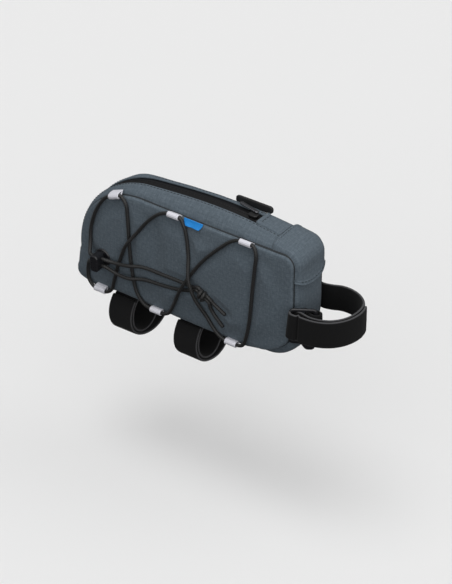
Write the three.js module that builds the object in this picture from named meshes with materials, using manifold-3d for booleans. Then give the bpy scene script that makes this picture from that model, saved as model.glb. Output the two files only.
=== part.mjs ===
// A top tube bag for a bicycle: a zipped cloth bag with laced shock cord on its near side,
// two strap loops below for the top tube and one in front for the steerer.
// Millimetres, +X to the bag's front, -Y to the laced side, +Z up.
// The origin is the middle of the underside, where the bag sits on the tube.
import * as THREE from "three";
import { mergeVertices } from "three/addons/utils/BufferGeometryUtils.js";
import Module from "manifold-3d";

const wasm = await Module();
wasm.setup();

// Clearance that separate pieces keep where they meet.
const GAP = 0.3;

// The seam line of the side panels, seen from the side, and the half width at its two ends.
const BAG = {
  rear: -119.4,
  front: 111,
  bottom: 3,
  top: 107,
  halfWidthRear: 16,
  halfWidthFront: 21.2,
};
const CORNER = { rearTopX: 72, rearTopZ: 67, rearBottom: 9, frontBottom: 27, frontTop: 10 };
// The rear below its hem stands proud of the zip strips and leans out to its foot.
const REAR_FOOT = { hemZ: 29, proud: 1.6, lean: 2.2 };
const CENTRE = new THREE.Vector2(0, 54);
const LENGTH = BAG.front - BAG.rear;

// Cloth walls, and how far each face of the gusset swells between its two seams.
const WALL = { gusset: 2, panel: 1.6, zip: 1.1, patch: 1.3, hood: 1.5 };
const CROWN = { topMiddle: 12.9, topEnds: 3.1, forward: 1.45, base: 3, front: 4, rear: 3.7, power: 3.5 };
const PUFF = { depth: 4.5, power: 0.6 };

// The zip's edges as shares of the half width, and how far it is sunk. The hood's free edge is lowest
// at lowAt, a share of the half width, and rises to its two sides.
const ZIP = { nearEdge: -0.32, farEdge: 0.28, sunk: 0.7 };
const HOOD = { hemX: 90, overlap: 2, lowZ: 74.5, lowAt: 0, sideRise: 5.5, flare: 2 };
const PATCH = { rearX: 62.5, nearEdge: -0.37, farEdge: 0.55, hemRoll: 0.6 };

// Lacing: shock cord, the tape sleeves it runs through, the cord lock and the knot.
const CORD = { diameter: 3.2, sides: 8, over: 3.7 };
const SLEEVE = { length: 11.4, bore: 4.8, wall: 0.8, sides: 14 };
const LOCK = {
  x: -89,
  z: 36,
  holeSpread: 3.6,
  holeDiameter: 3.9,
  discDiameter: 17,
  discDepth: 2.4,
  travel: 2.6,
  bodyWidth: 8.6,
  bodyHeight: 16.4,
  bodyWall: 1.5,
  frontWall: 1.2,
  tongueRim: 1,
  seat: 1.2,
  lead: 8.4,
};
const KNOT = { x: 24, z: 43, length: 9, core: 3.2, wrap: 1.4, sunk: 1.4 };

// Hook-and-loop straps.
const STRAP = { width: 25, thickness: 2.2, layerGap: 0.9 };
const BASE_LOOP = { radius: 23.6, startDeg: 285, endDeg: -318, shiftAtDeg: -95, shiftOverDeg: 130 };
const FRONT_LOOP = { z: 45.3 };
const RING = { height: 37, z: 46, length: 25, thickness: 2.4, rail: 4.6, bar: 3.2, corner: 5 };
const RING_BAR = new THREE.Vector2(112.6, -28.6);
const RING_TURN = THREE.MathUtils.degToRad(32);

const LOOKS = {
  cloth: { color: 0x4a535b, roughness: 0.9 },
  zip: { color: 0x1d1e22, roughness: 0.5 },
  metal: { color: 0x8d8f94, roughness: 0.35, metalness: 0.9 },
  rubber: { color: 0x18181a, roughness: 0.6 },
  tape: { color: 0xc9ccd8, roughness: 0.6 },
  tab: { color: 0x1f7fd0, roughness: 0.7 },
  cord: { color: 0x2b2c2e, roughness: 0.8 },
  plastic: { color: 0x141416, roughness: 0.4 },
  strap: { color: 0x19191b, roughness: 0.95 },
};

const bag = new THREE.Group();

function addPiece(name, geometry, look) {
  const mesh = new THREE.Mesh(geometry, new THREE.MeshStandardMaterial(LOOKS[look]));
  mesh.name = name;
  bag.add(mesh);
  return mesh;
}

// Closed solid between two grids of points, [row][column]; wrapRows joins the last row to the first.
function slab(outer, inner, wrapRows = false) {
  const rows = outer.length;
  const cols = outer[0].length;
  const at = (side, i, j) => (side * rows + (i % rows)) * cols + j;
  const quads = [];
  const steps = wrapRows ? rows : rows - 1;
  for (let i = 0; i < steps; i++) {
    for (let j = 0; j < cols - 1; j++) {
      quads.push([at(0, i, j), at(0, i + 1, j), at(0, i + 1, j + 1), at(0, i, j + 1)]);
      quads.push([at(1, i, j), at(1, i, j + 1), at(1, i + 1, j + 1), at(1, i + 1, j)]);
    }
    const last = cols - 1;
    quads.push([at(0, i + 1, 0), at(0, i, 0), at(1, i, 0), at(1, i + 1, 0)]);
    quads.push([at(0, i, last), at(0, i + 1, last), at(1, i + 1, last), at(1, i, last)]);
  }
  if (!wrapRows) {
    const end = rows - 1;
    for (let j = 0; j < cols - 1; j++) {
      quads.push([at(0, 0, j), at(0, 0, j + 1), at(1, 0, j + 1), at(1, 0, j)]);
      quads.push([at(0, end, j + 1), at(0, end, j), at(1, end, j), at(1, end, j + 1)]);
    }
  }
  const soup = new THREE.BufferGeometry();
  soup.setFromPoints([...outer.flat(), ...inner.flat()]);
  soup.setIndex(quads.flatMap(([a, b, c, d]) => [a, b, c, a, c, d]));
  return facingOut(withoutSlivers(mergeVertices(soup, 1e-3)));
}

// Drops the triangles that merging has turned into lines.
function withoutSlivers(geometry) {
  const index = geometry.index.array;
  const kept = [];
  for (let i = 0; i < index.length; i += 3) {
    const [a, b, c] = index.slice(i, i + 3);
    if (a !== b && b !== c && c !== a) kept.push(a, b, c);
  }
  geometry.setIndex(kept);
  return geometry;
}

// Turns every triangle round where the closed surface encloses a negative volume.
function facingOut(geometry) {
  const index = [...geometry.index.array];
  const corners = [0, 1, 2].map(() => new THREE.Vector3());
  const position = geometry.getAttribute("position");
  let volume = 0;
  for (let i = 0; i < index.length; i += 3) {
    corners.forEach((corner, k) => corner.fromBufferAttribute(position, index[i + k]));
    volume += corners[0].dot(corners[1].clone().cross(corners[2]));
  }
  if (volume < 0) geometry.setIndex(index.reverse());
  return geometry;
}

// Boolean joins and cuts on closed geometries.
function solidOf(geometry) {
  const bare = geometry.clone();
  bare.deleteAttribute("normal");
  bare.deleteAttribute("uv");
  const merged = mergeVertices(bare, 1e-4);
  return new wasm.Manifold(
    new wasm.Mesh({
      numProp: 3,
      vertProperties: new Float32Array(merged.getAttribute("position").array),
      triVerts: new Uint32Array(merged.index.array),
    }),
  );
}

function geometryOf(solid) {
  const mesh = solid.getMesh();
  const geometry = new THREE.BufferGeometry();
  geometry.setAttribute("position", new THREE.BufferAttribute(mesh.vertProperties, 3));
  geometry.setIndex(new THREE.BufferAttribute(mesh.triVerts, 1));
  return geometry;
}

const along = (from, to, count) =>
  Array.from({ length: count + 1 }, (_, i) => from + ((to - from) * i) / count);

// Half width of the bag at x: full over the front half, drawn in towards the rear.
function halfWidth(x) {
  const share = THREE.MathUtils.clamp((x - BAG.rear) / LENGTH, 0, 1);
  return BAG.halfWidthFront - (BAG.halfWidthFront - BAG.halfWidthRear) * (1 - share) ** 2;
}

// Swell of the gusset at a seam point with outward normal n: each face has its own share.
function crownAt(p, n) {
  const share = THREE.MathUtils.clamp((p.x - BAG.rear) / LENGTH, 0, 1);
  const arch = Math.sin(Math.PI * share ** CROWN.forward);
  const top = CROWN.topEnds + (CROWN.topMiddle - CROWN.topEnds) * arch;
  const upright = n.y > 0 ? top : CROWN.base;
  const level = n.x > 0 ? CROWN.front : CROWN.rear;
  return upright * n.y ** 2 + level * n.x ** 2;
}

// A point of the gusset: v runs from -1 at the near seam to 1 at the far seam, lift is outward.
function gussetPoint({ p, n }, v, lift) {
  const reach = crownAt(p, n) * (1 - Math.abs(v) ** CROWN.power) + lift;
  return new THREE.Vector3(p.x + n.x * reach, v * halfWidth(p.x), p.y + n.y * reach);
}

// The seam line in the side view, anticlockwise from the hood's hem, one curve for each stretch.
const arc = (x, z, rx, rz, from, to) =>
  new THREE.EllipseCurve(x, z, rx, rz, (from * Math.PI) / 180, (to * Math.PI) / 180);
const line = (x0, z0, x1, z1) =>
  new THREE.LineCurve(new THREE.Vector2(x0, z0), new THREE.Vector2(x1, z1));
const rearTop = { x: BAG.rear + CORNER.rearTopX, z: BAG.top - CORNER.rearTopZ };
const footRear = BAG.rear - REAR_FOOT.proud - REAR_FOOT.lean;
const rearLow = { x: footRear + CORNER.rearBottom, z: BAG.bottom + CORNER.rearBottom };
const frontLow = { x: BAG.front - CORNER.frontBottom, z: BAG.bottom + CORNER.frontBottom };
const frontTop = { x: BAG.front - CORNER.frontTop, z: BAG.top - CORNER.frontTop };
const hemGap = GAP / 2;

const ZIP_SEAM = [
  { steps: 11, curve: line(HOOD.hemX - hemGap, BAG.top, rearTop.x, BAG.top) },
  { steps: 9, curve: arc(rearTop.x, rearTop.z, CORNER.rearTopX, CORNER.rearTopZ, 90, 180) },
  { steps: 1, curve: line(BAG.rear, rearTop.z, BAG.rear, REAR_FOOT.hemZ + hemGap) },
];
const BASE_SEAM = [
  { steps: 2, curve: line(BAG.rear - REAR_FOOT.proud, REAR_FOOT.hemZ - hemGap, footRear, rearLow.z) },
  { steps: 3, curve: arc(rearLow.x, rearLow.z, CORNER.rearBottom, CORNER.rearBottom, 180, 270) },
  { steps: 9, curve: line(rearLow.x, BAG.bottom, frontLow.x, BAG.bottom) },
  { steps: 4, curve: arc(frontLow.x, frontLow.z, CORNER.frontBottom, CORNER.frontBottom, 270, 360) },
  { steps: 6, curve: line(BAG.front, frontLow.z, BAG.front, frontTop.z) },
  { steps: 4, curve: arc(frontTop.x, frontTop.z, CORNER.frontTop, CORNER.frontTop, 0, 90) },
  { steps: 2, curve: line(frontTop.x, BAG.top, HOOD.hemX + hemGap, BAG.top) },
];

function station(curve, t) {
  const tangent = curve.getTangent(t);
  return { p: curve.getPoint(t), n: new THREE.Vector2(tangent.y, -tangent.x) };
}

function stationsOf(stretches) {
  const inner = stretches.flatMap(({ curve, steps }) =>
    along(0, 1, steps).slice(0, -1).map((t) => station(curve, t)),
  );
  return [...inner, station(stretches.at(-1).curve, 1)];
}

const zipStations = stationsOf(ZIP_SEAM);
const baseStations = stationsOf(BASE_SEAM);

// A strip of gusset cloth between two edges, whose outer face stands lift off the gusset's face.
function gussetStrip(stations, edges, columns, lift, wall) {
  const grid = (depth) =>
    stations.map((s) => {
      const [from, to] = edges(s.p.x);
      return along(from, to, columns).map((v) => gussetPoint(s, v, lift - depth));
    });
  return slab(grid(0), grid(wall));
}

function makeGusset() {
  const edgeGap = (x) => GAP / halfWidth(x);
  const nearStrip = (x) => [-1, ZIP.nearEdge - edgeGap(x)];
  const zipStrip = () => [ZIP.nearEdge, ZIP.farEdge];
  const farStrip = (x) => [ZIP.farEdge + edgeGap(x), 1];
  addPiece("zip_strip_near", gussetStrip(zipStations, nearStrip, 4, 0, WALL.gusset), "cloth");
  addPiece("zip_strip_far", gussetStrip(zipStations, farStrip, 2, 0, WALL.gusset), "cloth");
  addPiece("zip_tape", gussetStrip(zipStations, zipStrip, 4, -ZIP.sunk, WALL.zip), "zip");
  addPiece("base_gusset", gussetStrip(baseStations, () => [-1, 1], 8, 0, WALL.gusset), "cloth");
}

// Share of the way from the panel's centre to its seam at a point of the side view.
const outline = [...zipStations.slice(0, -1), ...baseStations.slice(0, -1)].map(({ p }) => p);
function seamShare(x, z) {
  const d = new THREE.Vector2(x, z).sub(CENTRE);
  let share = 0;
  outline.forEach((a, i) => {
    const edge = outline[(i + 1) % outline.length].clone().sub(a);
    const from = a.clone().sub(CENTRE);
    const cross = d.cross(edge);
    const onEdge = from.cross(d) / cross;
    const onRay = from.cross(edge) / cross;
    if (onRay > 0 && onEdge >= 0 && onEdge <= 1) share = Math.max(share, 1 / onRay);
  });
  return share;
}

// Distance of a panel's outer face from the bag's middle plane, at its seam share.
function panelReach(x, share) {
  const puff = PUFF.depth * Math.max(0, 1 - share ** 2) ** PUFF.power;
  return halfWidth(x) + GAP + WALL.panel + puff;
}

function makePanel(name, side) {
  const shares = [1, 0.96, 0.88, 0.74, 0.5, 0];
  const grid = (depth) =>
    outline.map((p) =>
      shares.map((share) => {
        const q = CENTRE.clone().lerp(p, share);
        return new THREE.Vector3(q.x, side * (panelReach(q.x, share) - depth), q.y);
      }),
    );
  addPiece(name, slab(grid(0), grid(WALL.panel), true), "cloth");
}

// The hemmed patch over the zip's front end, with a rolled rear edge.
function makePatch() {
  const xs = [PATCH.rearX, PATCH.rearX + 1.5, ...along(PATCH.rearX + 4, HOOD.hemX - HOOD.overlap - GAP, 4)];
  const vs = along(PATCH.nearEdge, PATCH.farEdge, 6);
  const up = new THREE.Vector2(0, 1);
  const grid = (lift, roll) =>
    xs.map((x, i) => {
      const s = { p: new THREE.Vector2(x, BAG.top), n: up };
      return vs.map((v) => gussetPoint(s, v, lift + (i < 2 ? roll : 0)));
    });
  const outer = grid(GAP + WALL.patch, PATCH.hemRoll);
  addPiece("zip_end_patch", slab(outer, grid(GAP, 0)), "cloth");
}

// The hood: over the front top corner and down the front face to a curved free edge.
function makeHood() {
  const path = new THREE.CurvePath();
  path.add(line(HOOD.hemX - HOOD.overlap, BAG.top, frontTop.x, BAG.top));
  const bend = arc(frontTop.x, frontTop.z, CORNER.frontTop, CORNER.frontTop, 90, 0);
  bend.aClockwise = true;
  path.add(bend);
  path.add(line(BAG.front, frontTop.z, BAG.front, HOOD.lowZ));
  const whole = path.getLength();
  const vs = along(-1, 1, 8);
  const rows = 12;
  const grid = (depth) =>
    along(0, 1, rows).map((row) =>
      vs.map((v) => {
        const rise = HOOD.sideRise * ((v - HOOD.lowAt) / (1 + HOOD.lowAt)) ** 2;
        const share = (row * (whole - rise)) / whole;
        const tangent = path.getTangentAt(share);
        const s = { p: path.getPointAt(share), n: new THREE.Vector2(-tangent.y, tangent.x) };
        return gussetPoint(s, v, 1.5 * GAP + WALL.hood + HOOD.flare * row ** 4 - depth);
      }),
    );
  addPiece("hood", slab(grid(0), grid(WALL.hood)), "cloth");
}

// Slider, tab and flat pull at the front end of the zip, as solids on the crowned top.
function roundedBar(length, width, radius) {
  const shape = new THREE.Shape();
  const x = length / 2;
  const y = width / 2;
  shape.moveTo(x - radius, -y);
  shape.absarc(x - radius, -y + radius, radius, -Math.PI / 2, 0);
  shape.absarc(x - radius, y - radius, radius, 0, Math.PI / 2);
  shape.absarc(-x + radius, y - radius, radius, Math.PI / 2, Math.PI);
  shape.absarc(-x + radius, -y + radius, radius, Math.PI, 1.5 * Math.PI);
  shape.closePath();
  return shape;
}

function extrude(shape, depth, bevel, curveSegments = 3) {
  const geometry = new THREE.ExtrudeGeometry(shape, {
    depth: depth - 2 * bevel,
    bevelEnabled: bevel > 0,
    bevelThickness: bevel,
    bevelSize: bevel,
    bevelOffset: -bevel,
    bevelSegments: 1,
    curveSegments,
  });
  geometry.translate(0, 0, bevel - depth / 2);
  return geometry;
}

function makeZipPull() {
  const zipMiddle = (ZIP.nearEdge + ZIP.farEdge) / 2;
  const top = { p: new THREE.Vector2(0, BAG.top), n: new THREE.Vector2(0, 1) };
  const seat = (x, v, lift) => gussetPoint({ ...top, p: new THREE.Vector2(x, BAG.top) }, v, lift);

  const slider = addPiece("zip_slider", extrude(roundedBar(9, 7, 2.4), 2.4, 0.5), "metal");
  slider.position.copy(seat(55.5, zipMiddle, 1.05));

  const tab = addPiece("zip_tab", extrude(roundedBar(23, 4.2, 2), 1.4, 0.3), "metal");
  tab.position.copy(seat(47, 0.24, 2.55));
  tab.rotation.set(-0.1, 0, -0.24);

  // The pull stands on its edge on the far strip.
  const pull = addPiece("zip_pull", extrude(roundedBar(38, 5.8, 2.8), 2.6, 0.7), "rubber");
  pull.position.copy(seat(45.9, 0.71, 4.45));
  pull.rotation.x = THREE.MathUtils.degToRad(80);
}

// Lacing. Each row of a route: x, z, and the lift off the panel's face where it crosses or leaves it.
const onPanel = ([x, z, lift]) => {
  const away = panelReach(x, seamShare(x, z)) + CORD.diameter / 2 + GAP + lift;
  return new THREE.Vector3(x, -away, z);
};

const SLEEVES = [
  { name: "loop_top_1", x: -75, z: 103.2, turnDeg: 21, lift: 1.6 },
  { name: "loop_top_2", x: -10.4, z: 107.5, turnDeg: 0, lift: 1.6 },
  { name: "loop_top_3", x: 65.4, z: 108.4, turnDeg: 0, lift: 1.4 },
  { name: "loop_bottom_1", x: -94.3, z: -0.6, turnDeg: 0, lift: 1.9 },
  { name: "loop_bottom_2", x: -30.8, z: 2.2, turnDeg: 0, lift: 1.9 },
  { name: "loop_bottom_3", x: 50.8, z: 1.8, turnDeg: 0, lift: 1.9 },
];

const { over: OVER } = CORD;
const LACING = [
  [-100, 40.6, 6],
  [-102.6, 48, 2],
  [-102.8, 62, 0.4],
  [-96.8, 80.6, 0.5],
  [-88.4, 94.6, 1],
  [-81.6, 100.6, 1.6],
  [-75, 103.2, 1.6],
  [-68.4, 105.7, 1.6],
  [-62.2, 100.5, 1],
  [-60.4, 89, 0],
  [-58.5, 65, 0],
  [-56, 38, 0],
  [-52, 15, 0.2],
  [-45, 4.4, 1.2],
  [-37.6, 2.2, 1.9],
  [-24, 2.2, 1.9],
  [-17, 5.6, 1.2],
  [-11.5, 15, 0.2],
  [-4, 30, 2.6],
  [3, 44, OVER],
  [10, 57, 1.4],
  [22, 75, 0],
  [39, 94, 0],
  [51, 105, 1],
  [58.4, 108.4, 1.4],
  [65.4, 108.4, 1.4],
  [73, 108.3, 1.4],
  [76.6, 101.5, 0.8],
  [75.8, 88, 0],
  [73.4, 62, 0],
  [71, 34, 0],
  [67, 14, 0.2],
  [63, 4.2, 1.2],
  [57.6, 1.8, 1.9],
  [44, 1.8, 1.9],
  [36, 6, 1],
  [25.5, 20, 0.4],
  [16.5, 38.5, OVER + 1.2],
  [11, 55, OVER + 1.8],
  [7, 76, 0.3],
  [3, 97, 0.2],
  [0.8, 102.5, 1],
  [-2.8, 107.3, 1.6],
  [-10.4, 107.5, 1.6],
  [-17.4, 107.5, 1.6],
  [-26, 103.5, 1],
  [-37, 93, 0],
  [-49, 77, 0.4],
  [-59, 62, OVER],
  [-67, 47, 0.3],
  [-72, 34, 0],
  [-77.5, 15, 0.2],
  [-82.4, 3, 1.2],
  [-87.4, -0.6, 1.9],
  [-94.3, -0.6, 1.9],
  [-101.6, -0.6, 1.9],
  [-107.1, 4.8, 1],
  [-107.8, 16, 0.6],
  [-105, 26, 2],
  [-100, 31.2, 6],
];
const TAILS = [
  {
    name: "upper",
    hole: 1,
    run: [
      [-76, 38.6, OVER + 1],
      [-68, 39.2, OVER + 0.2],
      [-57, 41.6, OVER + 0.2],
      [-44, 44, 0.6],
      [-20, 45, 0],
      [3, 45.4, 0],
      [12, 45.4, 0.2],
    ],
    end: [
      [34, 37.2, 0.6],
      [45, 30, 0],
    ],
  },
  {
    name: "lower",
    hole: -1,
    run: [
      [-76, 29.8, OVER + 1],
      [-69, 28, OVER + 0.2],
      [-56, 28.8, OVER + 0.2],
      [-43, 31.5, 0.6],
      [-18, 34, 0],
      [-2, 37, 0],
      [11, 41.6, 0.2],
    ],
    end: [
      [32, 29, 0.6],
      [42, 16, 0],
    ],
  },
];

function cordTube(points, steps) {
  const section = new THREE.Shape();
  along(0, 2 * Math.PI, CORD.sides).slice(0, -1).forEach((angle, i) => {
    const x = (Math.cos(angle) * CORD.diameter) / 2;
    const y = (Math.sin(angle) * CORD.diameter) / 2;
    if (i) section.lineTo(x, y);
    else section.moveTo(x, y);
  });
  section.closePath();
  const extrudePath = new THREE.CatmullRomCurve3(points, false, "centripetal");
  return new THREE.ExtrudeGeometry(section, { steps, extrudePath, bevelEnabled: false });
}

// Depths in the lock, outward from the plunger's disc, and the lock's place on the panel.
const lockSeat = panelReach(LOCK.x, seamShare(LOCK.x, LOCK.z)) + LOCK.seat;
const lockHole = LOCK.holeDiameter / 2;
const bodyBack = LOCK.discDepth + LOCK.travel + GAP;
const cordDepth = bodyBack + lockHole + 0.9;
const tongueTip = cordDepth + lockHole + LOCK.tongueRim;
const cavityEnd = tongueTip + LOCK.travel + GAP;
const bodyFront = cavityEnd + LOCK.frontWall;
const lockPoint = (x, hole) =>
  new THREE.Vector3(x, -(lockSeat + cordDepth), LOCK.z + hole * LOCK.holeSpread);

function makeLacing() {
  SLEEVES.forEach(({ name, x, z, turnDeg, lift }) => {
    const bore = SLEEVE.bore / 2;
    const rim = bore + SLEEVE.wall;
    const half = SLEEVE.length / 2;
    const profile = [
      [bore, -half],
      [rim, -half],
      [rim, half],
      [bore, half],
      [bore, -half],
    ].map(([r, h]) => new THREE.Vector2(r, h));
    const sleeve = addPiece(name, new THREE.LatheGeometry(profile, SLEEVE.sides), "tape");
    sleeve.position.copy(onPanel([x, z, lift]));
    sleeve.rotation.set(0, 0, -Math.PI / 2);
    const turn = new THREE.Matrix4().makeRotationY((-turnDeg * Math.PI) / 180);
    sleeve.quaternion.premultiply(new THREE.Quaternion().setFromRotationMatrix(turn));
  });
  const lockHalf = GAP / 2;
  const lacing = [
    lockPoint(LOCK.x - lockHalf, 1),
    lockPoint(LOCK.x - LOCK.lead / 2, 1),
    lockPoint(LOCK.x - LOCK.lead, 1),
    ...LACING.map(onPanel),
    lockPoint(LOCK.x - LOCK.lead, -1),
    lockPoint(LOCK.x - LOCK.lead / 2, -1),
    lockPoint(LOCK.x - lockHalf, -1),
  ];
  addPiece("lacing_cord", cordTube(lacing, 104), "cord");

  const knotAt = onPanel([KNOT.x, KNOT.z, KNOT.wrap + KNOT.core - CORD.diameter / 2]);
  const knotAxis = new THREE.Vector3(0.86, 0, -0.51);
  const across = new THREE.Vector3(0.51, 0, 0.86);
  const reach = KNOT.length / 2 + GAP;
  const beside = CORD.diameter / 2 + GAP / 2;
  const knotMouth = (side, hole, out) =>
    knotAt
      .clone()
      .addScaledVector(knotAxis, side * (reach + out))
      .addScaledVector(across, hole * beside)
      .add(new THREE.Vector3(0, KNOT.sunk, 0));
  TAILS.forEach(({ name, hole, run, end }) => {
    const tail = [
      lockPoint(LOCK.x + lockHalf, hole),
      lockPoint(LOCK.x + LOCK.lead / 2, hole),
      lockPoint(LOCK.x + LOCK.lead, hole),
      ...run.map(onPanel),
      knotMouth(-1, hole, 2.5),
      knotMouth(-1, hole, 0),
    ];
    addPiece(`cord_tail_${name}`, cordTube(tail, 13), "cord");
    const freeEnd = [knotMouth(1, hole, 0), knotMouth(1, hole, 2.5), ...end.map(onPanel)];
    addPiece(`cord_end_${name}`, cordTube(freeEnd, 4), "cord");
  });

  // The knot reads as two wraps round both cords: a lathe with two swells.
  const half = KNOT.length / 2;
  const swell = (h) => KNOT.core + KNOT.wrap * Math.abs(Math.sin((Math.PI * (h + half)) / half));
  const profile = along(-half, half, 8).map((h) => new THREE.Vector2(swell(h), h));
  const ends = [new THREE.Vector2(0, -half), ...profile, new THREE.Vector2(0, half)];
  const knot = addPiece("cord_knot", new THREE.LatheGeometry(ends, 14), "cord");
  knot.position.copy(knotAt);
  knot.quaternion.setFromUnitVectors(new THREE.Vector3(0, 1, 0), knotAxis);
}

// The cord lock: a body with two cord holes, and a spring plunger whose tongue has slots that
// let the cords by through its whole travel. Built along +Z and turned to point at -Y.
function makeCordLock() {
  const block = (width, height, from, to, radius, bevel) => {
    const geometry = extrude(roundedBar(width, height, radius), to - from, bevel);
    return solidOf(geometry.translate(0, 0, (from + to) / 2));
  };
  const cordHole = (hole, radius, length, depth) => {
    const bore = new THREE.CylinderGeometry(radius, radius, length, 12);
    bore.rotateZ(Math.PI / 2).translate(0, hole * LOCK.holeSpread, depth);
    return solidOf(bore);
  };
  const cavityWidth = LOCK.bodyWidth - 2 * LOCK.bodyWall;
  const cavityHeight = LOCK.bodyHeight - 2 * LOCK.bodyWall;
  let body = block(LOCK.bodyWidth, LOCK.bodyHeight, bodyBack, bodyFront, 3, 0.8);
  body = body.subtract(block(cavityWidth, cavityHeight, bodyBack - 1, cavityEnd, 1.4, 0));

  const disc = LOCK.discDiameter / 2;
  const rounding = LOCK.discDepth / 3;
  const profile = [
    [0, 0],
    [disc - rounding, 0],
    [disc, rounding],
    [disc, LOCK.discDepth - rounding],
    [disc - rounding, LOCK.discDepth],
    [0, LOCK.discDepth],
  ].map(([r, h]) => new THREE.Vector2(r, h));
  let plunger = solidOf(new THREE.LatheGeometry(profile, 24).rotateX(Math.PI / 2));
  const slack = 2 * GAP;
  const root = LOCK.discDepth - rounding;
  plunger = plunger.add(block(cavityWidth - slack, cavityHeight - slack, root, tongueTip, 1.2, 0));

  for (const hole of [-1, 1]) {
    body = body.subtract(cordHole(hole, lockHole, 2 * LOCK.bodyWidth, cordDepth));
    const slotBack = cordDepth - lockHole - LOCK.travel;
    const slot = block(2 * LOCK.bodyWidth, LOCK.holeDiameter, slotBack, cordDepth + lockHole, 1, 0);
    plunger = plunger.subtract(slot.translate([0, hole * LOCK.holeSpread, 0]));
  }
  for (const [name, solid] of [["cord_lock_body", body], ["cord_lock_plunger", plunger]]) {
    const piece = addPiece(name, geometryOf(solid), "plastic");
    piece.position.set(LOCK.x, -lockSeat, LOCK.z);
    piece.rotation.x = Math.PI / 2;
  }
}

// The bare tab in the upper near seam: narrower at its free edge, which leans off the panel.
function makeSideTab() {
  const edge = { z: BAG.top + 1.2, from: 1.4, to: 18.6 };
  const free = { drop: 5.4, from: 4.6, to: 16.2, lean: 2.6 };
  const shares = along(0, 1, 3);
  const grid = (depth) =>
    along(0, 1, 5).map((t) =>
      shares.map((down) => {
        const top = THREE.MathUtils.lerp(edge.from, edge.to, t);
        const low = THREE.MathUtils.lerp(free.from, free.to, t);
        const away = panelReach(top, 1) + GAP + free.lean * down ** 1.5 + depth;
        const x = THREE.MathUtils.lerp(top, low, down ** 2);
        return new THREE.Vector3(x, -away, edge.z - free.drop * down);
      }),
    );
  addPiece("side_tab", slab(grid(1), grid(0)), "tab");
}

// A flat strap along a path of points, with its width along one axis and its thickness across.
function strapAlong(points, samples, widthAxis, width) {
  const path = new THREE.CatmullRomCurve3(points, false, "centripetal");
  const edge = widthAxis.clone().multiplyScalar(width / 2);
  const half = STRAP.thickness / 2;
  const grid = (side) =>
    along(0, 1, samples).map((t) => {
      const out = path.getTangentAt(t).cross(widthAxis).normalize();
      const middle = path.getPointAt(t).addScaledVector(out, side * half);
      return [middle.clone().sub(edge), middle.clone().add(edge)];
    });
  return slab(grid(1), grid(-1));
}

// A base strap winds round the tube as a spiral that starts inside on the far side and ends outside
// on the near side. On the far side its outer turn lies further forward by the shift, and both draw
// in towards the bottom by the taper.
function makeBaseStrap(name, x, { shift, taper }) {
  const layer = STRAP.thickness + STRAP.layerGap;
  const top = -(GAP + STRAP.thickness / 2);
  const turns = along(BASE_LOOP.startDeg, BASE_LOOP.endDeg, 66);
  const points = turns.map((deg) => {
    const a = (deg * Math.PI) / 180;
    const r = BASE_LOOP.radius - (layer * (deg - BASE_LOOP.endDeg)) / 360;
    const z = -BASE_LOOP.radius + 1.6 + r * Math.cos(a);
    const depth = THREE.MathUtils.clamp(-z / (2 * BASE_LOOP.radius), 0, 1);
    const side = -r * Math.sin(a);
    const y = side > 0 ? side * (1 - taper * depth ** 1.5) : side;
    const aside = 1 - Math.abs(deg - BASE_LOOP.shiftAtDeg) / BASE_LOOP.shiftOverDeg;
    const forward = shift * THREE.MathUtils.smoothstep(aside, 0, 1);
    return new THREE.Vector3(x + forward, y, Math.min(z, top));
  });
  const axis = new THREE.Vector3(1, 0, 0);
  addPiece(name, strapAlong(points, 72, axis, STRAP.width), "strap");
}

// Plan views, x and y at each point, of the front strap and of the ring's webbing.
const FRONT_STRAP_PLAN = [
  [106.5, 25.6],
  [112, 25.4],
  [118.6, 27.2],
  [126.5, 30.4],
  [136, 30.7],
  [146.4, 27.2],
  [155.4, 18.6],
  [158.2, 5],
  [155.5, -8.5],
  [148.5, -18],
  [139.5, -23.3],
  [130, -25.3],
  [123.5, -25],
  [119, -24.9],
  [114.2, -25.4],
  [110.8, -25.9],
  [109, -28.7],
  [111, -31.7],
  [115, -32.2],
  [122, -30.6],
  [131, -29.3],
  [141, -26.9],
  [150.5, -21],
  [158, -10.5],
  [161.4, 3],
  [160.8, 11],
  [159.2, 17],
];
const RING_ANCHOR_PLAN = [
  [116.5, -1],
  [116.4, -5],
  [116.3, -10],
  [119.4, -13.6],
  [124.5, -14.6],
  [129.5, -13.6],
  [133.6, -13.4],
  [135.2, -16.4],
  [133.4, -19.8],
  [129.5, -20.8],
  [126, -19.9],
  [122.8, -18],
];

function makeFrontStrap() {
  const up = new THREE.Vector3(0, 0, 1);
  const plan = (rows) => rows.map(([x, y]) => new THREE.Vector3(x, y, FRONT_LOOP.z));
  addPiece("front_strap", strapAlong(plan(FRONT_STRAP_PLAN), 84, up, STRAP.width), "strap");
  addPiece("ring_anchor", strapAlong(plan(RING_ANCHOR_PLAN), 30, up, STRAP.width), "strap");

  const frame = roundedBar(RING.length, RING.height, RING.corner);
  frame.holes.push(roundedBar(RING.length - 2 * RING.bar, RING.height - 2 * RING.rail, 1.5));
  const ring = addPiece("strap_ring", extrude(frame, RING.thickness, 0.5), "plastic");
  const toMiddle = RING.length / 2 - RING.bar / 2;
  ring.position.set(
    RING_BAR.x + toMiddle * Math.cos(RING_TURN),
    RING_BAR.y + toMiddle * Math.sin(RING_TURN),
    RING.z,
  );
  ring.rotation.set(Math.PI / 2, 0, RING_TURN, "ZXY");
}

makePanel("side_panel_near", -1);
makePanel("side_panel_far", 1);
makeGusset();
makePatch();
makeHood();
makeZipPull();
makeLacing();
makeCordLock();
makeSideTab();
makeBaseStrap("base_strap_rear", -72.5, { shift: 8, taper: 0.15 });
makeBaseStrap("base_strap_front", -0.8, { shift: 6, taper: 0.3 });
makeFrontStrap();

export default bag;
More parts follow.
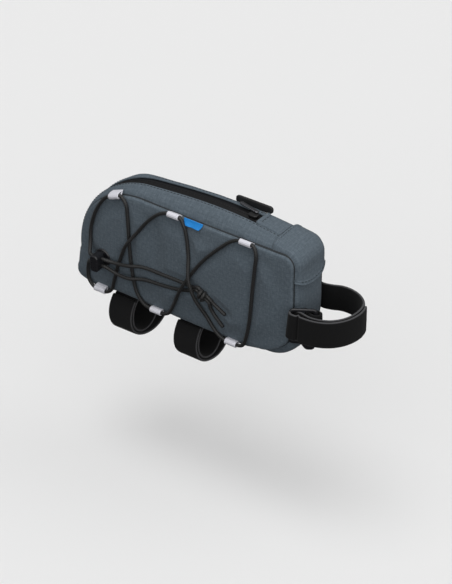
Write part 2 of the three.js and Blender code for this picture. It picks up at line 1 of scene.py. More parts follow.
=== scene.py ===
"""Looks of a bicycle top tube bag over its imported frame, laid out as an add-on.

Metres, +X to the bag's front, -Y to the laced side, +Z up. Each operator makes one piece or a group
of like pieces as numpy surfaces; the panel in the 3D view's sidebar lists them.
"""
import math

import bpy
import numpy as np
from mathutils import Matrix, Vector


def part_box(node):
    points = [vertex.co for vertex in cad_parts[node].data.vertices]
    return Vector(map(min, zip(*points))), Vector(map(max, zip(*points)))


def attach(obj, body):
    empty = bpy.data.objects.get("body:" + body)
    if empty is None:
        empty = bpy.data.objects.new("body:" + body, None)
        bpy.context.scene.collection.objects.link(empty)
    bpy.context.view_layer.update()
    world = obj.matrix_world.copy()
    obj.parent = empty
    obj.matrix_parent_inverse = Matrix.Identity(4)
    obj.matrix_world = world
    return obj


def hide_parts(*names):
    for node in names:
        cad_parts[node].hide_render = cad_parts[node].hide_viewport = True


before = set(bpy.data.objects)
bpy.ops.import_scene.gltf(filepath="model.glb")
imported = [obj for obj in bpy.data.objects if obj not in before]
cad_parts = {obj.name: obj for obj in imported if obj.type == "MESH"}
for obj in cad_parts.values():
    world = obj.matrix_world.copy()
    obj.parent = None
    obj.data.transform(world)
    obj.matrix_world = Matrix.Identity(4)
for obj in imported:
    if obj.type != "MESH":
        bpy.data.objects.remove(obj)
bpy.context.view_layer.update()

bl_info = {
    "name": "Top tube bag",
    "version": (1, 0, 0),
    "blender": (4, 5, 0),
    "location": "3D View > Sidebar > Bag",
    "description": "Builds the cloth, cords, straps and fittings of a bicycle top tube bag",
    "category": "Object",
}

MM = 0.001
# Directions: to the bag's front, to its laced side, and up.
FORWARD, NEAR, UP = np.array([[1.0, 0, 0], [0, -1.0, 0], [0, 0, 1.0]])
# Scale of a wave texture whose bands are one unit apart.
WAVE_UNIT = 2 * math.pi / 20
SENSOR_MM = 36
# Gap between the gusset and a side panel.
PANEL_GAP = 0.3 * MM


# Sizes and colours

def linear(hexcode):
    """An sRGB hex colour as linear red, green and blue with full alpha."""
    s = np.array([int(hexcode[i : i + 2], 16) for i in (1, 3, 5)]) / 255
    light = np.where(s <= 0.04045, s / 12.92, ((s + 0.055) / 1.055) ** 2.4)
    return (*light.tolist(), 1.0)


def size(name, millimetres, description):
    """A length property; its default is written in millimetres and kept in metres."""
    return bpy.props.FloatProperty(
        name=name, description=description, default=millimetres * MM, unit="LENGTH", precision=5
    )


def ratio(name, default, description):
    """A plain number property, such as a share or an exponent."""
    return bpy.props.FloatProperty(name=name, description=description, default=default, precision=3)


def angle(name, degrees, description):
    """An angle property; its default is written in degrees."""
    return bpy.props.FloatProperty(
        name=name, description=description, default=math.radians(degrees), unit="ROTATION"
    )


def colour(name, hexcode, description):
    """A colour property; its default is written as an sRGB hex value."""
    return bpy.props.FloatVectorProperty(
        name=name, description=description, default=linear(hexcode), size=4, subtype="COLOR", min=0, max=1
    )


class BagForm(bpy.types.PropertyGroup):
    """The sewn body: seam line in the side view, widths, swell of each face, hems and zip."""

    rear: size("Rear seam", -119.4, "x of the rear seam above its hem")
    front: size("Front seam", 111, "x of the front seam")
    bottom: size("Lower seam", 3, "z of the lower seam")
    top: size("Upper seam", 107, "z of the upper seam")
    centre_z: size("Panel centre", 54, "height of the middle of the side panels")
    half_rear: size("Half width, rear", 16, "half the width between the seams at the rear end")
    half_front: size("Half width, front", 21.2, "half the width between the seams at the front end")
    rear_top_x: size("Rear slope length", 72, "length of the rounded rear top")
    rear_top_z: size("Rear slope height", 67, "height of the rounded rear top")
    rear_low: size("Rear low corner", 9, "radius of the rear lower corner")
    front_low: size("Front low corner", 27, "radius of the front lower corner")
    front_top: size("Front top corner", 10, "radius of the front top corner")
    hem_z: size("Rear hem", 29, "height where the base cloth covers the zip strips at the rear")
    rear_proud: size("Rear hem step", 1.6, "how far the base cloth stands proud at the rear hem")
    rear_lean: size("Rear lean", 2.2, "how far the rear leans out to its foot")
    crown_middle: size("Top swell", 12.9, "swell of the top at its middle")
    crown_ends: size("Top swell at ends", 3.1, "swell of the top at its ends")
    crown_base: size("Base swell", 3, "swell of the underside")
    crown_front: size("Front swell", 4, "swell of the front face")
    crown_rear: size("Rear swell", 3.7, "swell of the rear face")
    crown_forward: ratio("Swell forward", 1.45, "moves the highest point of the top forward")
    crown_power: ratio("Swell section", 3.5, "roundness of the swell's section")
    puff: size("Panel swell", 4.5, "swell of the side panels")
    puff_power: ratio("Panel swell section", 0.6, "roundness of the side panels")
    wall: size("Panel wall", 1.6, "thickness of the side panels")
    gusset_wall: size("Gusset wall", 2, "thickness of the gusset cloth")
    zip_near: ratio("Zip near edge", -0.32, "near edge of the zip as a share of the half width")
    zip_far: ratio("Zip far edge", 0.28, "far edge of the zip as a share of the half width")
    zip_sunk: size("Zip depth", 0.7, "how far the zip lies below the cloth")
    hood_x: size("Hood hem", 90, "x of the hem where the hood starts")
    hood_low: size("Hood low edge", 79, "height of the hood's free edge where it is lowest")
    hood_low_at: ratio("Hood low place", -0.12, "share of the half width where the free edge is lowest")
    hood_rise: size("Hood side rise", 4, "how much higher the free edge lies at the near side")
    hood_flare: size("Hood flare", 2, "how far the free edge stands off the front")
    patch_x: size("Patch rear edge", 62.5, "x of the rolled edge of the zip end patch")
    patch_near: ratio("Patch near edge", -0.37, "near edge of the patch as a share of the half width")
    patch_far: ratio("Patch far edge", 0.55, "far edge of the patch as a share of the half width")
    seam_depth: size("Seam depth", 2.6, "depth of the groove along each seam")
    seam_roll: size("Seam roll", 2.4, "breadth over which a panel's rim rolls in to its seam")
    sag: size("Sag", 2.4, "how far the filled bag hangs below its lower seam line")
    corner_inset: size("Corner inset", 6.4, "how far the seams are drawn in at the front lower corner")
    stitch_pitch: size("Stitch pitch", 3.6, "distance from stitch to stitch")
    stitch_length: size("Stitch length", 2.5, "length of a stitch that shows")
    stitch_radius: size("Thread radius", 0.26, "radius of the sewing thread")


class LacingForm(bpy.types.PropertyGroup):
    """Shock cord, its tape loops, the lock and the knot."""

    cord: size("Cord diameter", 3.2, "diameter of the shock cord")
    clear: size("Clearance", 0.3, "clearance of the cord from the panel")
    loop_length: size("Loop length", 11.4, "width of the tape of each loop")
    loop_radius: size("Loop radius", 2.7, "radius of the tape round the cord")
    loop_wall: size("Loop tape", 0.8, "thickness of the loops' tape")
    lock_x: size("Lock x", -89, "middle of the cord lock along the bag")
    lock_z: size("Lock height", 36, "middle of the cord lock in height")
    lock_holes: size("Lock holes", 3.6, "distance of each cord hole from the lock's middle")
    lock_depth: size("Lock cord depth", 9.35, "distance of the cords in the lock from the panel's face")
    lock_lead: size("Lock lead", 8.4, "straight run of each cord out of the lock's middle")
    knot_x: size("Knot x", 24, "middle of the knot along the bag")
    knot_z: size("Knot height", 43, "middle of the knot in height")
    knot_lift: size("Knot lift", 3.0, "lift of the knot's middle above a cord that lies on the panel")
    knot_length: size("Knot length", 9, "length of the knot along the cords")
    knot_sunk: size("Knot depth", 1.4, "how far the two cords lie behind the knot's middle")
    tab_drop: size("Tab drop", 5.4, "length of the side tab that shows")
    tab_lean: size("Tab lean", 2.6, "how far the tab's free edge stands off the panel")


class StrapForm(bpy.types.PropertyGroup):
    """Hook-and-loop straps and the plastic ring."""

    width: size("Strap width", 25, "width of the hook-and-loop tape")
    thickness: size("Strap thickness", 2.2, "thickness of the hook-and-loop tape")
    layer_gap: size("Layer gap", 0.9, "gap between two layers of strap")
    loop_radius: size("Base loop radius", 23.6, "radius of the loops for the top tube")
    loop_start: angle("Base loop start", 285, "turn at which a base loop starts")
    loop_end: angle("Base loop end", -318, "turn at which a base loop ends")
    rear_x: size("Rear strap", -72.5, "x of the rear base loop")
    front_x: size("Front strap", -0.8, "x of the front base loop")
    steerer_z: size("Steerer strap", 46, "height of the strap for the steerer")
    steerer_width: size("Steerer strap width", 25.6, "width of the strap for the steerer")
    crease_at: size("Crease", 120.6, "x of the upright crease beside the steerer strap's fold")
    ring_height: size("Ring height", 37, "height of the plastic ring")
    ring_length: size("Ring length", 25, "length of the plastic ring")
    ring_rail: size("Ring rail", 4.6, "height of the ring's upper and lower rails")
    ring_bar: size("Ring bar", 3.2, "width of the ring's upright bars")
    ring_thickness: size("Ring thickness", 2.4, "thickness of the ring")
    ring_turn: angle("Ring turn", 32, "turn of the ring seen from above")


class BagColours(bpy.types.PropertyGroup):
    """Colours of the bag's materials."""

    cloth_dark: colour("Cloth, dark yarn", "#3f4951", "darker yarn of the heather cloth")
    cloth_light: colour("Cloth, light yarn", "#626d76", "lighter yarn of the heather cloth")
    # The thread colour also serves the seam rolls, where it is partly painted shade of the seam grooves.
    thread: colour("Thread", "#1d2226", "sewing thread")
    zip_film: colour("Zip film", "#0c0c0e", "coated face of the zip")
    metal: colour("Metal", "#5b5c60", "bare zinc of the slider's tab")
    lacquer: colour("Lacquer", "#111113", "black lacquer of the slider")
    rubber: colour("Rubber", "#101011", "moulded pull")
    tape: colour("Loop tape", "#dadae2", "pale reflective tape")
    tab: colour("Side tab", "#1286d8", "bare blue tape")
    cord: colour("Cord", "#1f1f1f", "sheath of the shock cord")
    plastic: colour("Plastic", "#1d1d20", "cord lock and ring")
    strap: colour("Strap", "#0d0d0e", "pile of the straps")
    # Painted highlight: this lighter grey along the straps' edges stands in for light catching them.
    strap_edge_highlight: colour("Strap edge", "#464648", "cut edges of the straps")
    floor: colour("Floor", "#e4e4e4", "plain pale floor")


class StageForm(bpy.types.PropertyGroup):
    """Camera, floor and lights."""

    azimuth: angle("Azimuth", 35.5, "direction of the camera, from the laced side towards the front")
    elevation: angle("Elevation", 33.5, "height of the camera above the horizon")
    distance: size("Distance", 2200, "distance of the camera from the middle of its view")
    target_x: size("View x", 26.5, "x of the middle of the view")
    target_z: size("View z", 30.5, "height of the middle of the view")
    lens: size("Lens", 156.6, "focal length on a 36 mm sensor")
    floor_z: size("Floor", -163, "height of the floor under the floating bag")
    floor_reach: size("Floor reach", 30000, "half the side of the floor")
    sky: ratio("Sky", 0.3, "strength of the even light from above the horizon")
    sky_low: ratio("Low sky", 0.03, "strength of the even light from well below the horizon")
    overhead: ratio("Overhead light", 0.75, "strength of the soft light from above")
    front: ratio("Front light", 2.4, "strength of the broad light from the front")
    overhead_breadth: angle("Overhead breadth", 28, "breadth of the overhead light as seen from the bag")
    front_breadth: angle("Front breadth", 120, "breadth of the front light as seen from the bag")


GROUPS = {
    "bag_form": BagForm,
    "bag_lacing": LacingForm,
    "bag_straps": StrapForm,
    "bag_colours": BagColours,
    "bag_stage": StageForm,
}


# Arrays and meshes

def smooth(start, end, x):
    """Goes from 0 at start to 1 at end along a smooth S."""
    t = np.clip((x - start) / (end - start), 0, 1)
    return t * t * (3 - 2 * t)


def unit(v):
    """Vectors of length one."""
    return v / np.maximum(np.linalg.norm(v, axis=-1, keepdims=True), 1e-12)


def lengths(points):
    """Length run from the first point to each point of a polyline."""
    return np.r_[0, np.cumsum(np.linalg.norm(np.diff(points, axis=0), axis=1))]


def taken_at(at, run, points):
    """Points of a polyline at these lengths, along the straight lines between its own points."""
    return np.stack([np.interp(at, run, points[:, k]) for k in range(points.shape[1])], -1)


def evenly(points, count):
    """A polyline's points taken again at even lengths."""
    run = lengths(points)
    return taken_at(np.linspace(0, run[-1], count), run, points)


def bell(x, breadth, power=2):
    """A bell curve, 1 at x = 0 and 1/e at the breadth to either side; a higher power flattens its top."""
    return np.exp(-((x / breadth) ** power))


def squarish(wave, power):
    """A sine or cosine raised to a power with its sign kept: below one, it squares off a round section."""
    return np.sign(wave) * np.abs(wave) ** power


def joined(*parts):
    """Arrays spread to a common shape and joined along a new last axis: points, or a UV for each point."""
    return np.stack(np.broadcast_arrays(*parts), -1)


def ripple(u, w, wave, seed):
    """Soft uneven waves between -1 and 1: the mean of six sines turned and stretched at random."""
    rng = np.random.default_rng(seed)
    total = np.zeros(np.broadcast(u, w).shape)
    for _ in range(6):
        turn, phase, stretch = rng.uniform((0, 0, 0.7), (math.pi, 2 * math.pi, 1.5))
        total += np.sin((u * math.cos(turn) + w * math.sin(turn)) * 2 * math.pi / (wave * stretch) + phase)
    return total / 6


def spline(points, step):
    """A centripetal Catmull-Rom curve through the points, taken again every step."""
    p = np.vstack([2 * points[0] - points[1], points, 2 * points[-1] - points[-2]])
    d = np.sqrt(np.linalg.norm(np.diff(p, axis=0), axis=1))[:, None]
    p0, p1, p2, p3 = p[:-3], p[1:-2], p[2:-1], p[3:]
    d0, d1, d2 = d[:-2], d[1:-1], d[2:]
    m1 = d1 * ((p1 - p0) / d0 - (p2 - p0) / (d0 + d1) + (p2 - p1) / d1)
    m2 = d1 * ((p2 - p1) / d1 - (p3 - p1) / (d1 + d2) + (p3 - p2) / d2)
    t = np.linspace(0, 1, 24, endpoint=False)[None, :, None]
    a, b, c, e = (q[:, None, :] for q in (p1, m1, p2, m2))
    curve = (
        a * (2 * t**3 - 3 * t**2 + 1)
        + b * (t**3 - 2 * t**2 + t)
        + c * (3 * t**2 - 2 * t**3)
        + e * (t**3 - t**2)
    )
    curve = np.vstack([curve.reshape(-1, 3), points[-1]])
    return evenly(curve, max(int(lengths(curve)[-1] / step), 2) + 1)


def mesh_of(name, vertices, faces, uv=None, edge_highlight=None):
    """A smooth mesh object from arrays: corners of four, a UV for each corner, a share of painted edge
    highlight for each vertex.
    """
    mesh = bpy.data.meshes.new(name)
    mesh.vertices.add(len(vertices))
    mesh.vertices.foreach_set("co", np.asarray(vertices, np.float32).ravel())
    mesh.loops.add(faces.size)
    mesh.loops.foreach_set("vertex_index", faces.ravel().astype(np.int32))
    mesh.polygons.add(len(faces))
    mesh.polygons.foreach_set("loop_start", np.arange(0, faces.size, 4, dtype=np.int32))
    mesh.polygons.foreach_set("use_smooth", np.ones(len(faces), bool))
    mesh.update(calc_edges=True)
    if uv is not None:
        layer = mesh.uv_layers.new(name="cloth")
        layer.data.foreach_set("uv", uv.astype(np.float32).ravel())
    if edge_highlight is not None:
        layer = mesh.attributes.new("edge_highlight", "FLOAT", "POINT")
        layer.data.foreach_set("value", edge_highlight.astype(np.float32).ravel())
    mesh.validate()
    obj = bpy.data.objects.new(name, mesh)
    bpy.context.scene.collection.objects.link(obj)
    return obj


def surface(name, grid, uv, inside=None, wrap=False, edge_highlight=None):
    """An object from a grid of points [row, column]; wrap joins the last column to the first.

    Faces look away from the point inside, or outward of the closed volume where it is None.
    """
    rows, cols = grid.shape[:2]
    vertices = grid.reshape(-1, 3)
    index = np.arange(rows * cols).reshape(rows, cols)
    flat = uv.reshape(-1, 2)
    place = np.arange(flat.shape[0]).reshape(uv.shape[:2])
    if wrap:
        index = np.column_stack([index, index[:, 0]])
    faces = np.stack([index[:-1, :-1], index[1:, :-1], index[1:, 1:], index[:-1, 1:]], -1).reshape(-1, 4)
    places = np.stack([place[:-1, :-1], place[1:, :-1], place[1:, 1:], place[:-1, 1:]], -1).reshape(-1, 4)
    a, b, c = (vertices[faces[:, k]] for k in (0, 1, 2))
    normal = np.cross(b - a, c - a)
    seen = a if inside is None else a - np.asarray(inside)
    if np.sum(normal * seen) < 0:
        faces = faces[:, ::-1]
        places = places[:, ::-1]
    return mesh_of(name, vertices, faces, flat[places], edge_highlight)


def piece(obj, nodes, material, body="bag"):
    """Gives a piece its material, the CAD nodes that it stands for and the body it rides on."""
    obj.data.materials.append(material)
    if nodes:
        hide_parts(*nodes)
    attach(obj, body)
    return obj


def middle_of(node):
    """Middle of a CAD node's box."""
    low, high = (np.array(corner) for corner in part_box(node))
    return (low + high) / 2


def wall(obj, thickness):
    """Gives an open sheet its thickness, inward from its outer face."""
    solid = obj.modifiers.new("wall", "SOLIDIFY")
    solid.thickness = thickness
    solid.offset = -1
    return obj


def tube(name, points, radius, sides=16, reference=(0, 1, 0), closed=False, flatten=1.0, swell=None):
    """A round cord: a circle carried along the points, square to the path, with rounded ends.

    The circle's first axis is square to the path and to the reference; flatten squeezes its second
    axis. swell(run, turn) scales the radius.
    """
    if closed:
        around = np.vstack([points[-1], points, points[0]])
        tangent = unit(around[2:] - around[:-2])
    else:
        tangent = unit(np.gradient(points, axis=0))
        cap = np.sin(np.linspace(0, 90, 4)[1:] * math.pi / 180)
        reach = radius * np.sqrt(1 - cap**2)
        points = np.vstack(
            [
                points[0] - tangent[0] * radius,
                points[0] - tangent[0] * reach[:-1, None],
                points,
                (points[-1] + tangent[-1] * reach[:-1, None])[::-1],
                points[-1] + tangent[-1] * radius,
            ]
        )
        ones = np.ones(3)[:, None]
        tangent = np.vstack([tangent[0] * ones, tangent, tangent[-1] * ones])
    scale = np.ones(len(points))
    if not closed:
        scale[:3] = np.r_[0, cap[:-1]]
        scale[-3:] = np.r_[0, cap[:-1]][::-1]
    first = unit(np.cross(tangent, np.asarray(reference, float)))
    second = np.cross(first, tangent)
    turn = np.linspace(0, 2 * math.pi, sides + 1)
    run = lengths(points)
    r = radius * scale[:, None] * np.ones((1, sides))
    if swell is not None:
        r = r * swell(run[:, None], turn[None, :-1])
    ring = first[:, None, :] * np.cos(turn[:-1])[None, :, None]
    ring = ring + flatten * second[:, None, :] * np.sin(turn[:-1])[None, :, None]
    grid = points[:, None, :] + r[:, :, None] * ring
    if closed:
        grid = np.concatenate([grid, grid[:1]])
        run = np.r_[run, run[-1] + np.linalg.norm(points[0] - points[-1])]
    return weld_ends(surface(name, grid, joined(run[:, None], turn[None, :] * radius), wrap=True))


def weld_ends(obj):
    """Joins points that fall together, such as those of a pole or of a closed path."""
    weld = obj.modifiers.new("poles", "WELD")
    weld.merge_threshold = 1e-6
    return obj


def stitches(name, points, outward, f, material):
    """A row of stitches: on each pitch a thread capsule, arched and sunk at both ends.

    points follow the seam and outward is the cloth's normal at each. A capsule is a circle carried
    along a shallow arch of the stitch's length.
    """
    run = lengths(points)
    at = np.arange(f.stitch_pitch, run[-1] - f.stitch_pitch / 2, f.stitch_pitch)
    middle = taken_at(at, run, points)
    lift = unit(taken_at(at, run, outward))
    tangent = unit(taken_at(at, run, np.gradient(points, axis=0)))
    side = unit(np.cross(lift, tangent))
    t = np.linspace(-1, 1, 9)
    arch = f.stitch_radius * (0.5 - 1.5 * t**4)
    girth = f.stitch_radius * np.sqrt(1 - 0.96 * t**6)
    turn = np.linspace(0, 2 * math.pi, 8, endpoint=False)
    forward = (t * f.stitch_length / 2)[:, None] * np.ones(8)
    up = arch[:, None] + girth[:, None] * np.cos(turn)
    across = girth[:, None] * np.sin(turn)
    grid = (
        middle[:, None, None, :]
        + tangent[:, None, None, :] * forward[None, :, :, None]
        + lift[:, None, None, :] * up[None, :, :, None]
        + side[:, None, None, :] * across[None, :, :, None]
    )
    count, rows, cols = grid.shape[:3]
    index = np.arange(rows * cols).reshape(rows, cols)
    index = np.column_stack([index, index[:, 0]])
    faces = np.stack([index[:-1, 1:], index[1:, 1:], index[1:, :-1], index[:-1, :-1]], -1).reshape(-1, 4)
    caps = np.array([[0, 1, 2, 3], [0, 3, 4, 7], [4, 5, 6, 7]])
    faces = np.vstack([faces, caps[:, ::-1], caps + (rows - 1) * cols])
    faces = (faces[None] + (np.arange(count) * rows * cols)[:, None, None]).reshape(-1, 4)
    return piece(mesh_of(name, grid.reshape(-1, 3), faces), [], material)


# The bag's form

def line(x0, z0, x1, z1):
    """Points along a straight stretch of the seam line."""
    t = np.linspace(0, 1, 50)[:, None]
    return (1 - t) * np.array([x0, z0]) + t * np.array([x1, z1])


def arc(x, z, rx, rz, start, end):
    """Points along an elliptical stretch of the seam line, angles in degrees."""
    a = np.radians(np.linspace(start, end, 60))
    return np.column_stack([x + rx * np.cos(a), z + rz * np.sin(a)])


def zip_seam(f):
    """The seam line from the hood's hem over the top and down the rear to its hem."""
    x = f.rear + f.rear_top_x
    z = f.top - f.rear_top_z
    return [
        line(f.hood_x, f.top, x, f.top),
        arc(x, z, f.rear_top_x, f.rear_top_z, 90, 180),
        line(f.rear, z, f.rear, f.hem_z),
    ]


def base_seam(f):
    """The seam line from the rear hem round the underside and up the front to the hood's hem."""
    foot = f.rear - f.rear_proud - f.rear_lean
    return [
        line(f.rear - f.rear_proud, f.hem_z, foot, f.bottom + f.rear_low),
        arc(foot + f.rear_low, f.bottom + f.rear_low, f.rear_low, f.rear_low, 180, 270),
        line(foot + f.rear_low, f.bottom, f.front - f.front_low, f.bottom),
        arc(f.front - f.front_low, f.bottom + f.front_low, f.front_low, f.front_low, 270, 360),
        line(f.front, f.bottom + f.front_low, f.front, f.top - f.front_top),
        arc(f.front - f.front_top, f.top - f.front_top, f.front_top, f.front_top, 0, 90),
        line(f.front - f.front_top, f.top, f.hood_x, f.top),
    ]


def stations(stretches, count):
    """Even places along the seam line, their outward normals and the length run to each."""
    dense = np.vstack(stretches)
    keep = np.r_[True, np.linalg.norm(np.diff(dense, axis=0), axis=1) > 1e-9]
    place = evenly(dense[keep], count)
    tangent = unit(np.gradient(place, axis=0))
    normal = np.column_stack([tangent[:, 1], -tangent[:, 0]])
    return place, normal, lengths(place)


def half_width(f, x):
    """Half the width at x: full over the front half, drawn in by a square towards the rear."""
    share = np.clip((x - f.rear) / (f.front - f.rear), 0, 1)
    return f.half_front - (f.half_front - f.half_rear) * (1 - share) ** 2


def gusset(f, place, normal, v, lift):
    """Points of the gusset: v half widths across, and outward by the swell's share 1 - |v|^power.

    Each face has its own swell, mixed by the squares of the normal's parts; the top's is a sine along
    the bag. lift is added outward.
    """
    x, z = place[..., 0], place[..., 1]
    nx, nz = normal[..., 0], normal[..., 1]
    share = np.clip((x - f.rear) / (f.front - f.rear), 0, 1)
    arch = np.sin(math.pi * share**f.crown_forward)
    top = f.crown_ends + (f.crown_middle - f.crown_ends) * arch
    upright = np.where(nz > 0, top, f.crown_base)
    level = np.where(nx > 0, f.crown_front, f.crown_rear)
    reach = (upright * nz**2 + level * nx**2) * (1 - np.abs(v) ** f.crown_power) + lift
    y = v * half_width(f, x) * np.ones_like(reach)
    return np.stack([x + nx * reach, y, z + nz * reach], -1)


def seam_dip(f, x, v):
    """The cloth's edge turns in to its seam within about 2 mm."""
    away = (1 - np.abs(v)) * half_width(f, x)
    return -f.seam_depth * bell(away, 1.3 * MM)


def fold(away, width, height):
    """A hem's fold: its full height over the width from the edge, rounded down at the edge itself."""
    rounding = 0.8 * MM
    body = 1 - smooth(0.8 * width, 1.2 * width, away)
    edge = smooth(-0.2 * MM, 0.9 * MM, away)
    return height * body * edge - rounding * (1 - edge)


def panel_outline(f):
    """The closed seam line of a side panel."""
    whole = np.vstack(zip_seam(f) + base_seam(f))
    keep = np.r_[True, np.linalg.norm(np.diff(whole, axis=0), axis=1) > 1e-9]
    return whole[keep]


def front_corner(f, place):
    """A bell over the front lower corner of the side view."""
    x, z = f.front - 13 * MM, f.bottom + 5 * MM
    return bell(np.hypot(place[..., 0] - x, place[..., 1] - z), 21 * MM)


def sewn_shift(f, place):
    """How far the sewn seam lies outside the seam line.

    It sags along the underside, most at the rear and front lower loops, and is drawn in at the front
    lower corner.
    """
    rear_sag, rear_x = 7.2 * MM, f.rear + 21 * MM
    front_sag, front_x = 1.2 * MM, f.front - 53 * MM
    x, z = place[..., 0], place[..., 1]
    below = (1 - smooth(0, 14 * MM, z - f.bottom)) * (1 - smooth(0.55 * f.front, 0.75 * f.front, x))
    sag = f.sag + rear_sag * bell(x - rear_x, 15 * MM) + front_sag * bell(x - front_x, 9 * MM)
    return sag * below - f.corner_inset * front_corner(f, place)


def sewn_outline(f):
    """The seam line of a filled panel: the panel's outline moved out by the sewn shift."""
    ring = panel_outline(f)
    outward = unit(ring - np.array([0, f.centre_z]))
    outward[:, 0] *= smooth(0, 0.5, 1 - np.abs(outward[:, 1]) * 0.5)
    return ring + unit(outward) * sewn_shift(f, ring)[:, None]


def seam_share(f, x, z, outline=panel_outline):
    """Share of the way from the panel's centre to its seam, and the distance still to go."""
    away = outline(f) - np.array([0, f.centre_z])
    turn = np.arctan2(away[:, 1], away[:, 0])
    order = np.argsort(turn)
    radius = np.hypot(x, z - f.centre_z)
    seam = np.interp(
        np.arctan2(z - f.centre_z, x), turn[order], np.hypot(*away.T)[order], period=2 * math.pi
    )
    return radius / seam, seam - radius


def panel_reach(f, x, z):
    """Distance of a panel's outer face from the bag's middle plane."""
    share, _ = seam_share(f, x, z)
    puff = f.puff * np.maximum(0, 1 - share**2) ** f.puff_power
    return half_width(f, x) + PANEL_GAP + f.wall + puff


def on_panel(rows):
    """Middle of a cord that lies on the near panel: rows of x, z and lift, in millimetres."""
    f = bpy.context.scene.bag_form
    c = bpy.context.scene.bag_lacing
    x, z, lift = np.atleast_2d(np.asarray(rows, float)).T * MM
    away = panel_reach(f, x, z) + c.cord / 2 + c.clear + lift
    return np.column_stack([x, -away, z])


# Routes of the cords: x, z and lift off the near panel's face, in millimetres

CORD_STEP = 1.5 * MM
# Lift of a cord that passes over another.
OVER = 3.7
LACING = [
    (-100, 40.6, 6), (-102.6, 48, 2), (-102.8, 62, 0.4), (-96.8, 80.6, 0.5), (-88.4, 94.6, 1),
    (-81.6, 100.6, 1.6), (-75, 103.2, 1.6), (-68.4, 105.7, 1.6), (-62.2, 100.5, 1), (-60.4, 89, 0),
    (-58.5, 65, 0), (-56, 38, 0), (-52, 15, 0.2), (-45, 4.4, 1.2), (-37.6, 2.2, 1.9),
    (-24, 2.2, 1.9), (-17, 5.6, 1.2), (-11.5, 15, 0.2), (-4, 30, 2.6), (3, 44, OVER),
    (10, 57, 1.4), (22, 75, 0), (39, 94, 0), (51, 105, 1), (58.4, 108.4, 1.4),
    (65.4, 108.4, 1.4), (73, 108.3, 1.4), (76.6, 101.5, 0.8), (75.8, 88, 0), (73.4, 62, 0),
    (71, 34, 0), (67, 14, 0.2), (63, 4.2, 1.2), (57.6, 1.8, 1.9), (44, 1.8, 1.9),
    (36, 6, 1), (25.5, 20, 0.4), (16.5, 38.5, OVER + 1.2), (11, 55, OVER + 1.8), (7, 76, 0.3),
    (3, 97, 0.2), (0.8, 102.5, 1), (-2.8, 107.3, 1.6), (-10.4, 107.5, 1.6), (-17.4, 107.5, 1.6),
    (-26, 103.5, 1), (-37, 93, 0), (-49, 77, 0.4), (-59, 62, OVER), (-67, 47, 0.3),
    (-72, 34, 0), (-77.5, 15, 0.2), (-82.4, 3, 1.2), (-87.4, -0.6, 1.9), (-94.3, -0.6, 1.9),
    (-101.6, -0.6, 1.9), (-107.1, 4.8, 1), (-107.8, 16, 0.6), (-105, 26, 2), (-100, 31.2, 6),
]
TAILS = {
    "upper": {
        "hole": 1,
        "run": [
            (-76, 38.6, OVER + 1), (-68, 39.2, OVER + 0.2), (-57, 41.6, OVER + 0.2), (-44, 44, 0.6),
            (-20, 45, 0), (3, 45.4, 0), (12, 45.4, 0.2),
        ],
        "end": [(34, 37.2, 0.6), (45, 30, 0)],
    },
    "lower": {
        "hole": -1,
        "run": [
            (-76, 29.8, OVER + 1), (-69, 28, OVER + 0.2), (-56, 28.8, OVER + 0.2), (-43, 31.5, 0.6),
            (-18, 34, 0), (-2, 37, 0), (11, 41.6, 0.2),
        ],
        "end": [(32, 29, 0.6), (42, 16, 0)],
    },
}
# The knot's direction along its cords, and the direction across them on the panel.
KNOT_AXIS = np.array([0.86, 0, -0.51])
KNOT_ACROSS = np.array([0.51, 0, 0.86])
# Tape loops: x, z, turn in degrees and lift off the panel's face.
LOOPS = {
    "loop_top_1": (-75, 103.2, 21, 1.6),
    "loop_top_2": (-10.4, 107.5, 0, 1.6),
    "loop_top_3": (65.4, 108.4, 0, 1.4),
    "loop_bottom_1": (-94.3, -0.6, 0, 1.9),
    "loop_bottom_2": (-30.8, 2.2, 0, 1.9),
    "loop_bottom_3": (50.8, 1.8, 0, 1.9),
}
# Plans, x and y, of the strap for the steerer and of the webbing that holds its ring.
STEERER_PLAN = [
    (106.5, 25.6), (112, 25.4), (118.6, 27.2), (126.5, 30.4), (136, 30.7),
    (146.4, 27.2), (155.4, 18.6), (158.2, 5), (155.5, -8.5), (148.5, -18), (139.5, -23.3),
    (130, -25.3), (123.5, -25), (119, -24.9), (114.2, -25.4), (110.8, -25.9), (109, -28.7),
    (111, -31.7), (115, -32.2), (122, -30.6), (131, -29.3), (141, -26.9), (150.5, -21),
    (158, -10.5), (161.4, 3), (160.8, 11), (159.2, 17),
]
ANCHOR_PLAN = [
    (116.3, -10), (117.4, -12), (119.4, -13.6), (124.5, -14.6), (129.5, -13.6),
    (133.6, -13.4), (135.2, -16.4), (133.4, -19.8), (129.5, -20.8), (126, -19.9), (122.8, -18),
]


def lock_point(x, hole):
    """A point of a cord in the lock, x along the bag, hole 1 or -1."""
    f = bpy.context.scene.bag_form
    c = bpy.context.scene.bag_lacing
    away = panel_reach(f, np.array([c.lock_x]), np.array([c.lock_z]))[0] + c.lock_depth
    return np.array([x, -away, c.lock_z + hole * c.lock_holes])


def lacing_path():
    """The laced cord's route from the lock's upper hole round the loops to its lower hole."""
    c = bpy.context.scene.bag_lacing
    leads = [c.lock_x - share * c.lock_lead for share in (0.02, 0.5, 1)]
    start = [lock_point(x, 1) for x in leads]
    end = [lock_point(x, -1) for x in leads[::-1]]
    return np.vstack([start, on_panel(LACING), end])


def knot_place():
    """The knot's middle, and a function for the mouth of each of its cords."""
    c = bpy.context.scene.bag_lacing
    middle = on_panel([(c.knot_x / MM, c.knot_z / MM, c.knot_lift / MM)])[0]

    def mouth(side, hole, out):
        """Where a cord leaves the knot: side -1 or 1 along it, hole 1 or -1 across it, and distance out."""
        along = KNOT_AXIS * side * (c.knot_length / 2 + c.clear + out)
        beside = KNOT_ACROSS * hole * (c.cord / 2 + c.clear / 2)
        return middle + along + beside + np.array([0, c.knot_sunk, 0])

    return middle, mouth


